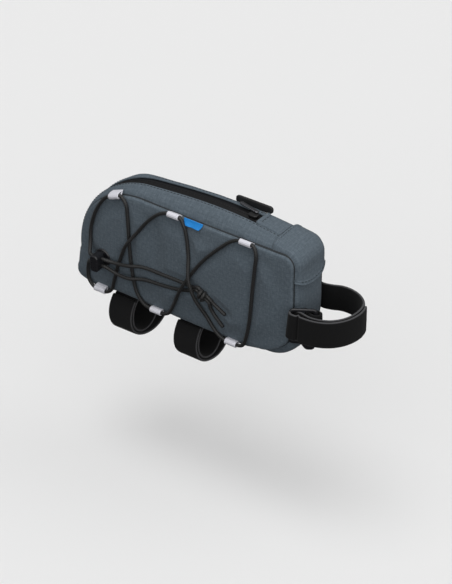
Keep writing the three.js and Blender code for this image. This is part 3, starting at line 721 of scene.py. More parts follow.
def tail_path(tail):
    """A free end's route: out of the lock, over the panel, through the knot and on to its cut end."""
    c = bpy.context.scene.bag_lacing
    _, mouth = knot_place()
    hole = tail["hole"]
    leads = [lock_point(c.lock_x + share * c.lock_lead, hole) for share in (0.02, 0.5, 1)]
    through = [mouth(-1, hole, 2.5 * MM), mouth(-1, hole, 0), mouth(1, hole, 0), mouth(1, hole, 2.5 * MM)]
    return np.vstack([leads, on_panel(tail["run"]), through, on_panel(tail["end"])])


# Materials

def add_node(tree, kind, inputs=None, **settings):
    """Adds a node, sets its properties, and links or sets its inputs by name or number."""
    node = tree.nodes.new(kind)
    for name, value in settings.items():
        setattr(node, name, value)
    for key, value in (inputs or {}).items():
        if isinstance(value, bpy.types.NodeSocket):
            tree.links.new(value, node.inputs[key])
        else:
            node.inputs[key].default_value = value
    return node


def begin_material(name):
    """An empty node material; gives back the material and its tree."""
    material = bpy.data.materials.get(name) or bpy.data.materials.new(name)
    material.use_nodes = True
    material.node_tree.nodes.clear()
    return material, material.node_tree


def end_material(tree, inputs):
    """Closes a material with one shader of these inputs."""
    shader = add_node(tree, "ShaderNodeBsdfPrincipled", inputs)
    add_node(tree, "ShaderNodeOutputMaterial", {"Surface": shader.outputs[0]})


def paint(name):
    """One of the bag's colours."""
    return getattr(bpy.context.scene.bag_colours, name)


def cloth_uv(tree):
    """A piece's own UV, in metres along and across it."""
    return add_node(tree, "ShaderNodeUVMap", uv_map="cloth").outputs[0]


def calculated(tree, operation, *values):
    """The result of one sum over sockets or numbers."""
    return add_node(tree, "ShaderNodeMath", dict(enumerate(values)), operation=operation).outputs[0]


def bands(tree, vector, spacing, distortion, direction="X"):
    """Soft bands between 0 and 1 at this spacing."""
    wave = {"Vector": vector, "Scale": WAVE_UNIT / spacing, "Distortion": distortion}
    return add_node(tree, "ShaderNodeTexWave", wave, bands_direction=direction).outputs["Fac"]


def speckle(tree, vector, spacing, detail=2.0):
    """Uneven noise between 0 and 1 with spots of about this size."""
    noise = {"Vector": vector, "Scale": 1 / spacing, "Detail": detail}
    return add_node(tree, "ShaderNodeTexNoise", noise).outputs["Fac"]


def between(tree, share, low, high):
    """A share of 0 to 1 brought between two values."""
    return add_node(tree, "ShaderNodeMapRange", {"Value": share, "To Min": low, "To Max": high}).outputs[0]


def mixed(tree, share, first, second, **settings):
    """Two colours mixed by a share."""
    return add_node(
        tree, "ShaderNodeMix", {0: share, 6: first, 7: second}, data_type="RGBA", **settings
    ).outputs[2]


def shaded(tree, base, share, low, high):
    """A colour multiplied by a share that is brought between two values."""
    return mixed(tree, 1.0, base, between(tree, share, low, high), blend_type="MULTIPLY")


def raised(tree, height, strength, depth):
    """Normals of a relief: a height of 0 to 1 that stands for this depth."""
    relief = {"Height": height, "Strength": strength, "Distance": depth}
    return add_node(tree, "ShaderNodeBump", relief).outputs[0]


def cloth_material():
    """Two close greys of yarn that mix in short threads both ways, with faint stronger threads in a grid.

    The yarns are about 0.3 mm and their mixed colour runs on for a few millimetres; they are drawn
    about three times as broad so that they show. The dull face has a little lint at its edges.
    """
    yarn, run, grid_spacing = 0.8 * MM, 4 * MM, 4 * MM
    material, tree = begin_material("heather polyester, plain woven and brushed")
    uv = cloth_uv(tree)
    share = 0.5
    for scale in ((1 / run, 1 / yarn, 1), (1 / yarn, 1 / run, 1)):
        threads = add_node(tree, "ShaderNodeMapping", {"Vector": uv, "Scale": scale}).outputs[0]
        part = calculated(tree, "SUBTRACT", speckle(tree, threads, 1.0), 0.5)
        share = calculated(tree, "ADD", part, share)
    for direction in ("X", "Y"):
        crest = bands(tree, uv, grid_spacing, 0.0, direction)
        crest = {"Value": crest, "From Min": 0.9, "From Max": 1.0, "To Max": 0.12}
        strong = add_node(tree, "ShaderNodeMapRange", crest).outputs[0]
        share = calculated(tree, "ADD", share, strong)
    tone = mixed(tree, share, paint("cloth_dark"), paint("cloth_light"))
    shader = {"Base Color": tone, "Roughness": 0.9, "Sheen Weight": 0.06, "Specular IOR Level": 0.25}
    end_material(tree, {**shader, "Normal": raised(tree, share, 0.25, 0.2 * MM)})
    return material


def plain_material(name, base, roughness, grain, grain_size, metallic=0.0, ior=1.5, specular=0.5):
    """A smooth surface with a fine uneven grain in its gloss; grain is the grain's depth."""
    material, tree = begin_material(name)
    place = add_node(tree, "ShaderNodeTexCoord").outputs["Object"]
    noise = speckle(tree, place, grain_size)
    gloss = between(tree, noise, roughness - 0.08, roughness + 0.08)
    shader = {"Base Color": paint(base), "Roughness": gloss, "Metallic": metallic, "IOR": ior}
    relief = raised(tree, noise, 0.5, grain)
    end_material(tree, {**shader, "Specular IOR Level": specular, "Normal": relief})
    return material


def zip_material():
    """A thin satin film: near black, with a broad soft highlight and a fine uneven grain."""
    name = "polyurethane film, calendered on zip tape"
    return plain_material(name, "zip_film", 0.5, 0.05 * MM, 1.5 * MM, specular=0.25)


def metal_material():
    """Grey zinc with rounded, slightly dulled edges."""
    name = "zinc alloy, die cast and tumbled"
    return plain_material(name, "metal", 0.4, 0.02 * MM, 0.8 * MM, metallic=1.0)


def lacquer_material():
    """Black lacquered zinc, with a small clear highlight."""
    return plain_material("zinc alloy, die cast and lacquered", "lacquer", 0.35, 0.02 * MM, 0.8 * MM)


def rubber_material():
    """Soft black rubber with a satin tool surface."""
    return plain_material("synthetic rubber, injection moulded", "rubber", 0.55, 0.05 * MM, 1.2 * MM)


def plastic_material():
    """Hard black plastic with a clear highlight on its rounded edges."""
    name = "acetal, injection moulded"
    return plain_material(name, "plastic", 0.3, 0.02 * MM, 1.5 * MM, ior=1.48, specular=0.6)


def thread_material():
    """Dark sewing thread, a little darker than the cloth; on the seam rolls it is also partly painted shade
    of the seam grooves.
    """
    return plain_material("polyester thread, twisted and bonded", "thread", 0.7, 0.1 * MM, 0.5 * MM)


def floor_material():
    """A plain pale studio floor without gloss."""
    return plain_material("painted board, rolled matt", "floor", 0.9, 0.0, 40 * MM)


def ribbed_material(name, base, roughness, spacing, depth, sheen):
    """A woven tape: ribs across its length, spaced as its weft and drawn coarse enough to show."""
    material, tree = begin_material(name)
    ribs = bands(tree, cloth_uv(tree), spacing, 0.6)
    tone = shaded(tree, paint(base), ribs, 0.86, 1.04)
    shader = {"Base Color": tone, "Roughness": roughness, "Sheen Weight": sheen}
    end_material(tree, {**shader, "Normal": raised(tree, ribs, 0.6, depth)})
    return material


def tape_material():
    """Pale tape with fine cross ribs and a soft bright face."""
    name = "polyester tape, woven and printed with reflecting beads"
    return ribbed_material(name, "tape", 0.5, 1.4 * MM, 0.12 * MM, 0.1)


def tab_material():
    """Blue tape, bare, with a silky ribbed face."""
    return ribbed_material("polyester tape, satin woven and dyed", "tab", 0.55, 1.2 * MM, 0.1 * MM, 0.05)


def cord_material():
    """A braided sheath: two sets of slanting strands that cross, dark grey with a dry, faint sheen.

    The strands are about 0.7 mm wide; they are drawn at 1.6 mm so that the braid shows.
    """
    material, tree = begin_material("polyester sheath, braided over rubber")
    uv = cloth_uv(tree)
    strands = []
    for turn in (1, -1):
        slant = {"Vector": uv, "Rotation": (0, 0, turn * math.radians(38))}
        slant = add_node(tree, "ShaderNodeMapping", slant).outputs[0]
        strands.append(bands(tree, slant, 1.6 * MM, 0.3))
    braid = calculated(tree, "MULTIPLY", *strands)
    tone = shaded(tree, paint("cord"), braid, 0.75, 1.35)
    shader = {"Base Color": tone, "Roughness": 0.5, "Sheen Weight": 0.05}
    end_material(tree, {**shader, "Normal": raised(tree, braid, 0.7, 0.2 * MM)})
    return material


def strap_material():
    """Near black pile that takes light unevenly, with lighter grey along both long edges: a painted
    highlight where light catches the edges.
    """
    material, tree = begin_material("hook-and-loop tape, knitted pile and slit edges")
    # This attribute carries the painted edge highlight of the straps.
    edge = add_node(tree, "ShaderNodeAttribute", attribute_name="edge_highlight").outputs["Fac"]
    pile = speckle(tree, cloth_uv(tree), 0.9 * MM, 3.0)
    tone = mixed(tree, edge, paint("strap"), paint("strap_edge_highlight"))
    tone = shaded(tree, tone, pile, 0.6, 1.4)
    shader = {"Base Color": tone, "Roughness": 0.9, "Sheen Weight": 0.05, "Specular IOR Level": 0.25}
    end_material(tree, {**shader, "Normal": raised(tree, pile, 0.6, 0.4 * MM)})
    return material


# Pieces

class BAG_OT_stage(bpy.types.Operator):
    """Camera, pale floor and soft lights"""

    bl_idname = "bag.stage"
    bl_label = "Stage"

    def execute(self, context):
        scene = context.scene
        scene.view_settings.view_transform = "Standard"
        self.make_camera(scene, scene.bag_stage)
        self.make_floor(scene.bag_stage)
        self.make_sky(scene, scene.bag_stage)
        self.make_lights(scene, scene.bag_stage)
        return {"FINISHED"}

    def make_camera(self, scene, s):
        """A camera at the photo's direction and distance, turned to the middle of its view."""
        target = Vector((s.target_x, 0, s.target_z))
        level = math.cos(s.elevation)
        back = Vector(
            (math.sin(s.azimuth) * level, -math.cos(s.azimuth) * level, math.sin(s.elevation))
        )
        camera = bpy.data.objects.new("camera", bpy.data.cameras.new("camera"))
        camera.data.lens = s.lens / MM
        camera.data.sensor_width = SENSOR_MM
        camera.location = target + back * s.distance
        camera.rotation_euler = back.to_track_quat("Z", "Y").to_euler()
        scene.collection.objects.link(camera)
        scene.camera = camera

    def make_floor(self, s):
        """A level square below the bag."""
        reach = np.linspace(-s.floor_reach, s.floor_reach, 9)
        x, y = np.meshgrid(reach, reach, indexing="ij")
        grid = np.stack([x, y, np.full_like(x, s.floor_z)], -1)
        floor = surface("floor", grid, grid[..., :2], inside=(0, 0, -9))
        floor.data.materials.append(floor_material())
        # The floor throws no light back on the bag, as a floor far below it would.
        floor.visible_diffuse = False
        floor.visible_glossy = False

    def make_sky(self, scene, s):
        """Even light, strong from above and weak from below, that changes across a band at the horizon."""
        band = 0.4
        world = bpy.data.worlds.new("studio")
        scene.world = world
        world.use_nodes = True
        tree = world.node_tree
        tree.nodes.clear()
        toward = add_node(tree, "ShaderNodeTexCoord").outputs["Object"]
        height = add_node(tree, "ShaderNodeSeparateXYZ", {0: toward}).outputs["Z"]
        rise = {"Value": height, "From Min": -band, "From Max": band, "To Min": s.sky_low, "To Max": s.sky}
        rise = add_node(tree, "ShaderNodeMapRange", rise).outputs[0]
        sky = add_node(tree, "ShaderNodeBackground", {"Strength": rise, "Color": (1, 1, 1, 1)}).outputs[0]
        add_node(tree, "ShaderNodeOutputWorld", {"Surface": sky})

    def make_lights(self, scene, s):
        """Two broad lights, each by the direction that it comes from."""
        lights = (
            ("overhead_light", (-0.14, -0.14, 1), s.overhead, s.overhead_breadth),
            ("front_light", (0.74, -0.55, 0.9), s.front, s.front_breadth),
        )
        for name, toward, strength, breadth in lights:
            lamp = bpy.data.lights.new(name, "SUN")
            lamp.energy = strength
            lamp.angle = breadth
            light = bpy.data.objects.new(name, lamp)
            light.rotation_euler = Vector(toward).to_track_quat("Z", "Y").to_euler()
            scene.collection.objects.link(light)


class BAG_OT_cords(bpy.types.Operator):
    """Laced shock cord, its two free ends and the knot that joins them"""

    bl_idname = "bag.cords"
    bl_label = "Cords"

    def execute(self, context):
        c = context.scene.bag_lacing
        sheath = cord_material()
        route = spline(lacing_path(), CORD_STEP)
        lacing = tube("laced_cord", route, c.cord / 2)
        piece(lacing, ["lacing_cord"], sheath)
        knot = self.make_knot(c)
        piece(knot, ["cord_knot"], sheath)
        for name, tail in TAILS.items():
            route = spline(tail_path(tail), CORD_STEP)
            end = tube(f"free_cord_{name}", route, c.cord / 2)
            piece(end, [f"cord_tail_{name}", f"cord_end_{name}"], sheath)
        return {"FINISHED"}

    def make_knot(self, c):
        """Two turns of cord side by side round both ends: an oval screw whose ends tuck in."""
        pitch, half_across, half_out, girth = 3.5 * MM, 3.7 * MM, 3.1 * MM, 0.46 * c.cord
        middle, _ = knot_place()
        turn = np.linspace(-0.35 * math.pi, 3.35 * math.pi, 150)
        share = np.linspace(-1, 1, 150)
        tuck = 1 - 0.4 * smooth(0.8, 1, np.abs(share))
        along = (turn / (2 * math.pi) - 0.75) * pitch
        across = half_across * np.cos(turn) * tuck
        outward = half_out * np.sin(turn) * tuck
        points = (
            middle
            + KNOT_AXIS * along[:, None]
            + KNOT_ACROSS * across[:, None]
            + NEAR * outward[:, None]
        )
        return tube("tied_knot", points, girth, reference=KNOT_AXIS)


class BAG_OT_panels(bpy.types.Operator):
    """Both side panels, puffed between their seams, the near one drawn in under its cords"""

    bl_idname = "bag.panels"
    bl_label = "Side panels"

    def execute(self, context):
        f = context.scene.bag_form
        cloth = cloth_material()
        thread = thread_material()
        quick_swell = 1.2 * MM
        before, after = self.fill(f)
        x, z = self.patch(f, 176, 88)
        for name, side in (("near", -1), ("far", 1)):
            swell = quick_swell if before is None else self.swelling(x, z, side, before, after)
            away = self.face(f, x, z, side, swell)
            grid = np.stack([x, side * away, z], -1)
            obj = surface(f"{name}_panel", grid, np.stack([x, z], -1), inside=(0, 0, f.centre_z))
            wall(obj, f.wall)
            piece(obj, [f"side_panel_{name}"], cloth)
            # The seam roll is dark thread: partly the binding and partly painted shade where the groove
            # between panel and gusset lies in shadow.
            piece(self.make_binding_and_shade(f, f"{name}_seam_roll", side), [], thread)
        return {"FINISHED"}

    def make_binding_and_shade(self, f, name, side):
        """The rolled seam between a panel and the gusset: a circle carried round the sewn outline, in the
        dark thread colour, partly the binding and partly painted shade of the seam's groove.
        """
        radius, inset, sunk = 1.25 * MM, 0.8 * MM, 0.6 * MM
        ring = evenly(sewn_outline(f), 400)[:-1]
        inner = ring + unit(np.array([0, f.centre_z]) - ring) * inset
        depth = side * (half_width(f, ring[:, 0]) - sunk)
        return tube(name, np.column_stack([inner[:, 0], depth, inner[:, 1]]), radius, 10, closed=True)

    def patch(self, f, columns, rows):
        """Grid over the panel in the side view: a Coons patch between four stretches of its outline."""
        outline = evenly(sewn_outline(f), 1200)[:-1]
        foot = f.rear - f.rear_proud - f.rear_lean
        bend = 1 - math.sqrt(0.5)
        corners = [
            (f.front - bend * f.front_top, f.top - bend * f.front_top),
            (f.rear + bend * f.rear_top_x, f.top - bend * f.rear_top_z),
            (foot + bend * f.rear_low, f.bottom + bend * f.rear_low),
            (f.front - bend * f.front_low, f.bottom + bend * f.front_low),
        ]
        starts = [np.argmin(np.hypot(*(outline - np.array(p)).T)) for p in corners]
        outline = np.roll(outline, -starts[0], axis=0)
        stops = [(k - starts[0]) % len(outline) for k in starts] + [len(outline)]
        closed = np.vstack([outline, outline[:1]])
        edges = [closed[a : b + 1] for a, b in zip(stops[:-1], stops[1:])]
        top = evenly(edges[0], columns)[::-1]
        left = evenly(edges[1], rows)[::-1]
        base = evenly(edges[2], columns)
        right = evenly(edges[3], rows)
        u = np.linspace(0, 1, columns)[:, None, None]
        v = np.linspace(0, 1, rows)[None, :, None]
        ruled = (1 - v) * base[:, None] + v * top[:, None] + (1 - u) * left[None] + u * right[None]
        square = (1 - u) * ((1 - v) * base[0] + v * top[0]) + u * ((1 - v) * base[-1] + v * top[-1])
        grid = ruled - square
        return grid[..., 0], grid[..., 1]

    def fill(self, f):
        """Points of the filled body before and after a cloth simulation.

        The closed body is the panels' rings, a little flatter than sewn, carried from one panel's
        centre over its seam to the other's. It is remeshed at 5 mm, held near its seams and filled
        by pressure without weight for 20 steps.
        """
        scene = bpy.context.scene
        ring = evenly(panel_outline(f), 160)[:-1]
        share = np.r_[np.linspace(0, 1, 16), np.linspace(1, 0, 16)]
        side = np.repeat([-1, 1], 16)
        place = share[:, None, None] * ring + (1 - share)[:, None, None] * np.array([0, f.centre_z])
        puff = 0.6 * f.puff * np.maximum(0, 1 - share**2) ** f.puff_power
        y = side[:, None] * (half_width(f, place[..., 0]) + puff[:, None])
        grid = np.stack([place[..., 0], y, place[..., 1]], -1)
        body = weld_ends(surface("filled_body", grid, np.zeros((32, 160, 2)), wrap=True))
        body.modifiers.new("even", "REMESH").voxel_size = 5 * MM
        view = bpy.context.evaluated_depsgraph_get()
        rough, body.data = body.data, bpy.data.meshes.new_from_object(body.evaluated_get(view))
        body.modifiers.clear()
        before = self.points(body.data)
        held = np.flatnonzero(seam_share(f, before[:, 0], before[:, 2])[0] > 0.95)
        body.vertex_groups.new(name="seams").add(held.tolist(), 1.0, "REPLACE")
        cloth = body.modifiers.new("fill", "CLOTH")
        cloth.settings.vertex_group_mass = "seams"
        cloth.settings.use_pressure = True
        cloth.settings.uniform_pressure_force = 4
        cloth.settings.shrink_min = -0.04
        cloth.settings.effector_weights.gravity = 0
        cloth.collision_settings.use_collision = False
        for step in range(1, 21):
            scene.frame_set(step)
        view = bpy.context.evaluated_depsgraph_get()
        filled = bpy.data.meshes.new_from_object(body.evaluated_get(view))
        after = self.points(filled)
        even = body.data
        bpy.data.objects.remove(body)
        for mesh in (rough, even, filled):
            bpy.data.meshes.remove(mesh)
        scene.frame_set(1)
        return before, after

    def points(self, mesh):
        """A mesh's points as an array."""
        co = np.empty(len(mesh.vertices) * 3, np.float32)
        mesh.vertices.foreach_get("co", co)
        return co.reshape(-1, 3)

    def swelling(self, x, z, side, before, after):
        """How far the filling moved one side out, halved: the mean of points weighted by a bell of 5 mm."""
        spread, share, least, most = 5 * MM, 0.5, -1 * MM, 2 * MM
        mine = np.sign(before[:, 1]) == side
        gap = (x.reshape(-1, 1) - before[mine, 0]) ** 2 + (z.reshape(-1, 1) - before[mine, 2]) ** 2
        weight = np.exp(-gap / (2 * spread**2)) + 1e-9
        moved = side * (after[mine, 1] - before[mine, 1])
        swell = (weight @ moved) / weight.sum(axis=1)
        return np.clip(share * swell, least, most).reshape(x.shape)

    def face(self, f, x, z, side, swell):
        """Distance of the panel's outer face from the middle plane.

        The form is the CAD's with the filling's swell; the rim rolls in to the seam as a quarter
        ellipse; soft waves and seam puckers are added; and the near face stays under every cord by
        a shallow valley.
        """
        _, to_seam = seam_share(f, x, z, sewn_outline)
        rim = np.clip(to_seam / f.seam_roll, 0, 1)
        away = panel_reach(f, x, z) - 1.6 * MM * (1 - np.sqrt(np.maximum(0, 1 - (1 - rim) ** 2)))
        inner = smooth(2 * MM, 25 * MM, to_seam)
        away = away + inner * (swell + 0.5 * MM * ripple(x, z, 55 * MM, 3 + side))
        pucker = bell(to_seam - 6 * MM, 4 * MM)
        away = away + 0.3 * MM * pucker * ripple(x, z, 13 * MM, 11 + side)
        if side < 0:
            away = self.under_cords(x, z, away)
        return away

    def under_cords(self, x, z, away):
        """Softly the lower of the face and a valley under each cord.

        A valley starts at the cord's inner side and rises with the square of the distance.
        """
        clear, hollow, soft = 0.1 * MM, 16 * MM, 0.25 * MM
        c = bpy.context.scene.bag_lacing
        paths = [lacing_path()] + [tail_path(tail) for tail in TAILS.values()]
        cords = np.vstack([spline(p, 2 * MM) for p in paths]).astype(np.float32)
        gap = (x.reshape(-1, 1) - cords[:, 0]) ** 2 + (z.reshape(-1, 1) - cords[:, 2]) ** 2
        valley = -cords[:, 1] - c.cord / 2 - clear + gap / (2 * hollow)
        limit = valley.min(axis=1).reshape(x.shape)
        return -soft * np.logaddexp(-away / soft, -limit / soft)


class BAG_OT_gusset(bpy.types.Operator):
    """Zip strips, zip, base cloth, hood and end patch, with their hems and stitches"""

    bl_idname = "bag.gusset"
    bl_label = "Gusset, zip and hood"

    def execute(self, context):
        f = context.scene.bag_form
        self.cloth = cloth_material()
        self.thread = thread_material()
        self.make_strips(f)
        self.make_zip(f)
        self.make_base(f)
        self.make_patch(f)
        self.make_hood(f)
        return {"FINISHED"}

    def add_sheet(self, f, name, node, place, normal, run, v, lift, thickness, material, slot="cloth"):
        """One sheet of the gusset from its stations, its shares across and its lift."""
        grid = gusset(f, place[:, None], normal[:, None], v, lift)
        across = v * half_width(f, place[:, None, 0])
        obj = surface(name, grid, joined(run[:, None], across), inside=(0, 0, f.centre_z))
        wall(obj, thickness)
        return piece(obj, [node], material)

    def sew(self, f, name, place, normal, v, lift):
        """A row of stitches along the gusset at a share across."""
        points = gusset(f, place, normal, v, lift)
        beside = gusset(f, place, normal, v + 0.04, lift)
        outward = unit(np.cross(np.gradient(points, axis=0), beside - points))
        inward = np.sum(outward * (points - np.array([0, 0, f.centre_z])), axis=1) < 0
        outward[inward] *= -1
        return stitches(name, points, outward, f, self.thread)

    def sew_across(self, f, name, place, normal, run, at, across, lift):
        """A straight row of stitches across the gusset at a length along it."""
        row = np.argmin(np.abs(run - at))
        ones = np.ones((len(across), 1))
        return self.sew(f, name, place[row] * ones, normal[row] * ones, across, lift)

    def make_strips(self, f):
        """The cloth beside the zip: folded at the zip, rolled in at the seam, with soft waves.

        The far strip stands up a little behind the rounded rear top. One row of stitches follows the
        zip and a short one the seam at the rear.
        """
        hem, hem_height, stand_height = 5 * MM, 0.5 * MM, 1.7 * MM
        zip_row, seam_row, rear_rows = 2.4 * MM, 3.4 * MM, 14 * MM
        place, normal, run = stations(zip_seam(f), 220)
        half = half_width(f, place[:, 0])
        for name, edge, seam, columns in (("near", f.zip_near, -1, 36), ("far", f.zip_far, 1, 20)):
            v = np.linspace(edge, seam, columns)[None, :] * np.ones((len(place), 1))
            away = np.abs(v - edge) * half[:, None]
            waves = ripple(run[:, None], v * half[:, None], 34 * MM, 21 + seam)
            lift = seam_dip(f, place[:, None, 0], v) + fold(away, hem, hem_height)
            lift = lift + 0.35 * MM * waves * smooth(0, 8 * MM, away)
            if name == "far":
                stand = bell(place[:, 0] - f.rear - 51 * MM, 11 * MM)
                lift = lift + stand_height * stand[:, None] * smooth(0, hem, away)
            self.add_sheet(
                f, f"{name}_zip_strip", f"zip_strip_{name}", place, normal, run, v, lift,
                f.gusset_wall, self.cloth,
            )
            row = edge + seam * zip_row / half
            shown = place[:, 0] < f.patch_x if name == "far" else np.ones(len(place), bool)
            self.sew(f, f"{name}_zip_stitches", place[shown], normal[shown], row[shown], hem_height)
            low = place[:, 0] < f.rear + rear_rows
            row = seam * (1 - seam_row / half)
            self.sew(f, f"{name}_rear_stitches", place[low], normal[low], row[low], 0.05 * MM)

    def make_zip(self, f):
        """The closed zip: two coated tapes that meet over the hidden coil, with a fine line between.

        Across, a broad flat bell for the coil has a fine one cut out of it; both edges are tucked under
        the strips.
        """
        tucked, coil_height, thickness = 0.07, 0.7 * MM, 1.1 * MM
        film = zip_material()
        place, normal, run = stations(zip_seam(f), 220)
        half = half_width(f, place[:, 0])[:, None]
        v = np.linspace(f.zip_near - tucked, f.zip_far + tucked, 60)[None, :]
        middle = (v - (f.zip_near + f.zip_far) / 2) * half
        coil = coil_height * (bell(middle, 3.2 * MM, 4) - bell(middle, 0.35 * MM))
        lift = -f.zip_sunk - 0.5 * MM + coil
        self.add_sheet(
            f, "closed_zip", "zip_tape", place, normal, run, v, lift, thickness, film, "coated_zip"
        )

    def make_base(self, f):
        """Underside, front and lower rear in one strip, its rear end hemmed over the zip strips.

        Its edges follow the sewn seam and its middle bulges.
        """
        hem, hem_height, hem_row = 6 * MM, 0.5 * MM, 3 * MM
        place, normal, run = stations(base_seam(f), 260)
        half = half_width(f, place[:, 0])[:, None]
        v = np.linspace(-1, 1, 56)[None, :]
        waves = ripple(run[:, None], v * half, 38 * MM, 31)
        lift = seam_dip(f, place[:, None, 0], v) + 0.4 * MM * waves * smooth(0, 10 * MM, run)[:, None]
        lift = lift + fold(run, hem, hem_height)[:, None]
        at_seam = bell((1 - np.abs(v)) * half, 3 * MM)
        lift = lift + self.base_bulge(f, place, normal)[:, None] * (1 - at_seam)
        lift = lift + sewn_shift(f, place)[:, None] * at_seam
        self.add_sheet(
            f, "base_cloth", "base_gusset", place, normal, run, v, lift, f.gusset_wall, self.cloth
        )
        across = np.linspace(-0.93, 0.93, 60)
        self.sew_across(f, "rear_hem_stitches", place, normal, run, hem_row, across, 0.6 * MM)

    def base_bulge(self, f, place, normal):
        """Swell of the base cloth along the underside clear of the straps, less at the front corner."""
        swell, drawn_in = 1.6 * MM, 1.2 * MM
        s = bpy.context.scene.bag_straps
        x = place[:, 0]
        beside = np.minimum(np.abs(x - s.rear_x - 4 * MM), np.abs(x - s.front_x - 3 * MM))
        clear = smooth(s.width / 2 + 5 * MM, s.width / 2 + 12 * MM, beside)
        under = smooth(0.2, 0.8, -normal[:, 1])
        return swell * under * clear - drawn_in * front_corner(f, place)

    def make_patch(self, f):
        """The patch over the zip's front end, rolled at its rear edge and folded along its sides."""
        height, roll_height, thickness = 1.7 * MM, 0.9 * MM, 1.3 * MM
        x = np.linspace(f.patch_x, f.hood_x - 2.3 * MM, 60)
        place = np.column_stack([x, np.full_like(x, f.top)])
        normal = np.column_stack([np.zeros_like(x), np.ones_like(x)])
        v = np.linspace(f.patch_near, f.patch_far, 50)[None, :]
        half = half_width(f, x)[:, None]
        run = x - x[0]
        sides = np.minimum(v - f.patch_near, f.patch_far - v) * half
        lift = height - 1.1 * MM * (1 - smooth(0, 1.4 * MM, sides))
        roll = bell(run - 1.4 * MM, 1.3 * MM) - 1.2 * (1 - smooth(-0.5 * MM, 0.8 * MM, run))
        lift = lift + roll_height * roll[:, None]
        lift = lift + 0.3 * MM * ripple(run[:, None], v * half, 24 * MM, 41)
        self.add_sheet(
            f, "zip_end_cover", "zip_end_patch", place, normal, run, v, lift, thickness, self.cloth
        )
        across = np.linspace(f.patch_near + 0.05, f.patch_far - 0.05, 40)
        self.sew_across(f, "patch_hem_stitches", place, normal, run, 4.2 * MM, across, height)

    def make_hood(self, f):
        """The flap over the front top corner: hemmed across the top, sewn at the sides, free below.

        Its rows follow the seam line; the free edge rises by the square of the share across, and the
        flap stands off by the fourth power of the share down, less towards the far side.
        """
        height, thickness, roll_radius = 1.95 * MM, 1.5 * MM, 1.1 * MM
        hem_row, edge_row, stitch_lift = 2.6 * MM, 3 * MM, 2.4 * MM

        def shorter(v):
            """How much shorter the flap is at a share across: squared from its lowest place."""
            return f.hood_rise * ((v - f.hood_low_at) / (1 + f.hood_low_at)) ** 2

        def flare(v, down):
            """How far the flap stands off at a share across and a share down."""
            return f.hood_flare * (1 - 0.5 * smooth(0.3, 1, v)) * down**4

        path = [
            line(f.hood_x - 2 * MM, f.top, f.front - f.front_top, f.top),
            arc(f.front - f.front_top, f.top - f.front_top, f.front_top, f.front_top, 90, 0),
            line(f.front, f.top - f.front_top, f.front, f.hood_low),
        ]
        place, normal, run = stations(path, 300)
        normal = -normal
        whole = run[-1]
        v = np.linspace(-1, 1, 64)[None, :]
        down = np.linspace(0, 1, 90)[:, None]
        along = down * (whole - shorter(v))
        spot = taken_at(along, run, place)
        out = unit(taken_at(along, run, normal))
        half = half_width(f, spot[..., 0])
        to_edge = (1 - down) * whole
        lift = height + flare(v, down) + 1.4 * seam_dip(f, spot[..., 0], v)
        lift = lift + fold(to_edge, 3.5 * MM, 0.4 * MM) + fold(along, 4 * MM, 0.5 * MM)
        lift = lift + 0.45 * MM * ripple(along, v * half, 26 * MM, 51)
        grid = gusset(f, spot, out, v, lift)
        hood = surface("front_hood", grid, joined(along, v * half), inside=(0, 0, f.centre_z))
        wall(hood, thickness)
        piece(hood, ["hood"], self.cloth)
        edge = grid[-1, 1:-4] + np.array([0.2, 0, 0.5]) * MM
        piece(tube("hood_edge_roll", edge, roll_radius, 12), [], self.cloth)
        across = np.linspace(-0.94, 0.94, 60)
        for name, row in (("hood_hem_stitches", hem_row), ("hood_edge_stitches", whole - edge_row)):
            share = row / whole
            at = row - shorter(across) * share
            spot = taken_at(at, run, place)
            out = unit(taken_at(at, run, normal))
            self.sew(f, name, spot, out, across, stitch_lift + flare(across, share))


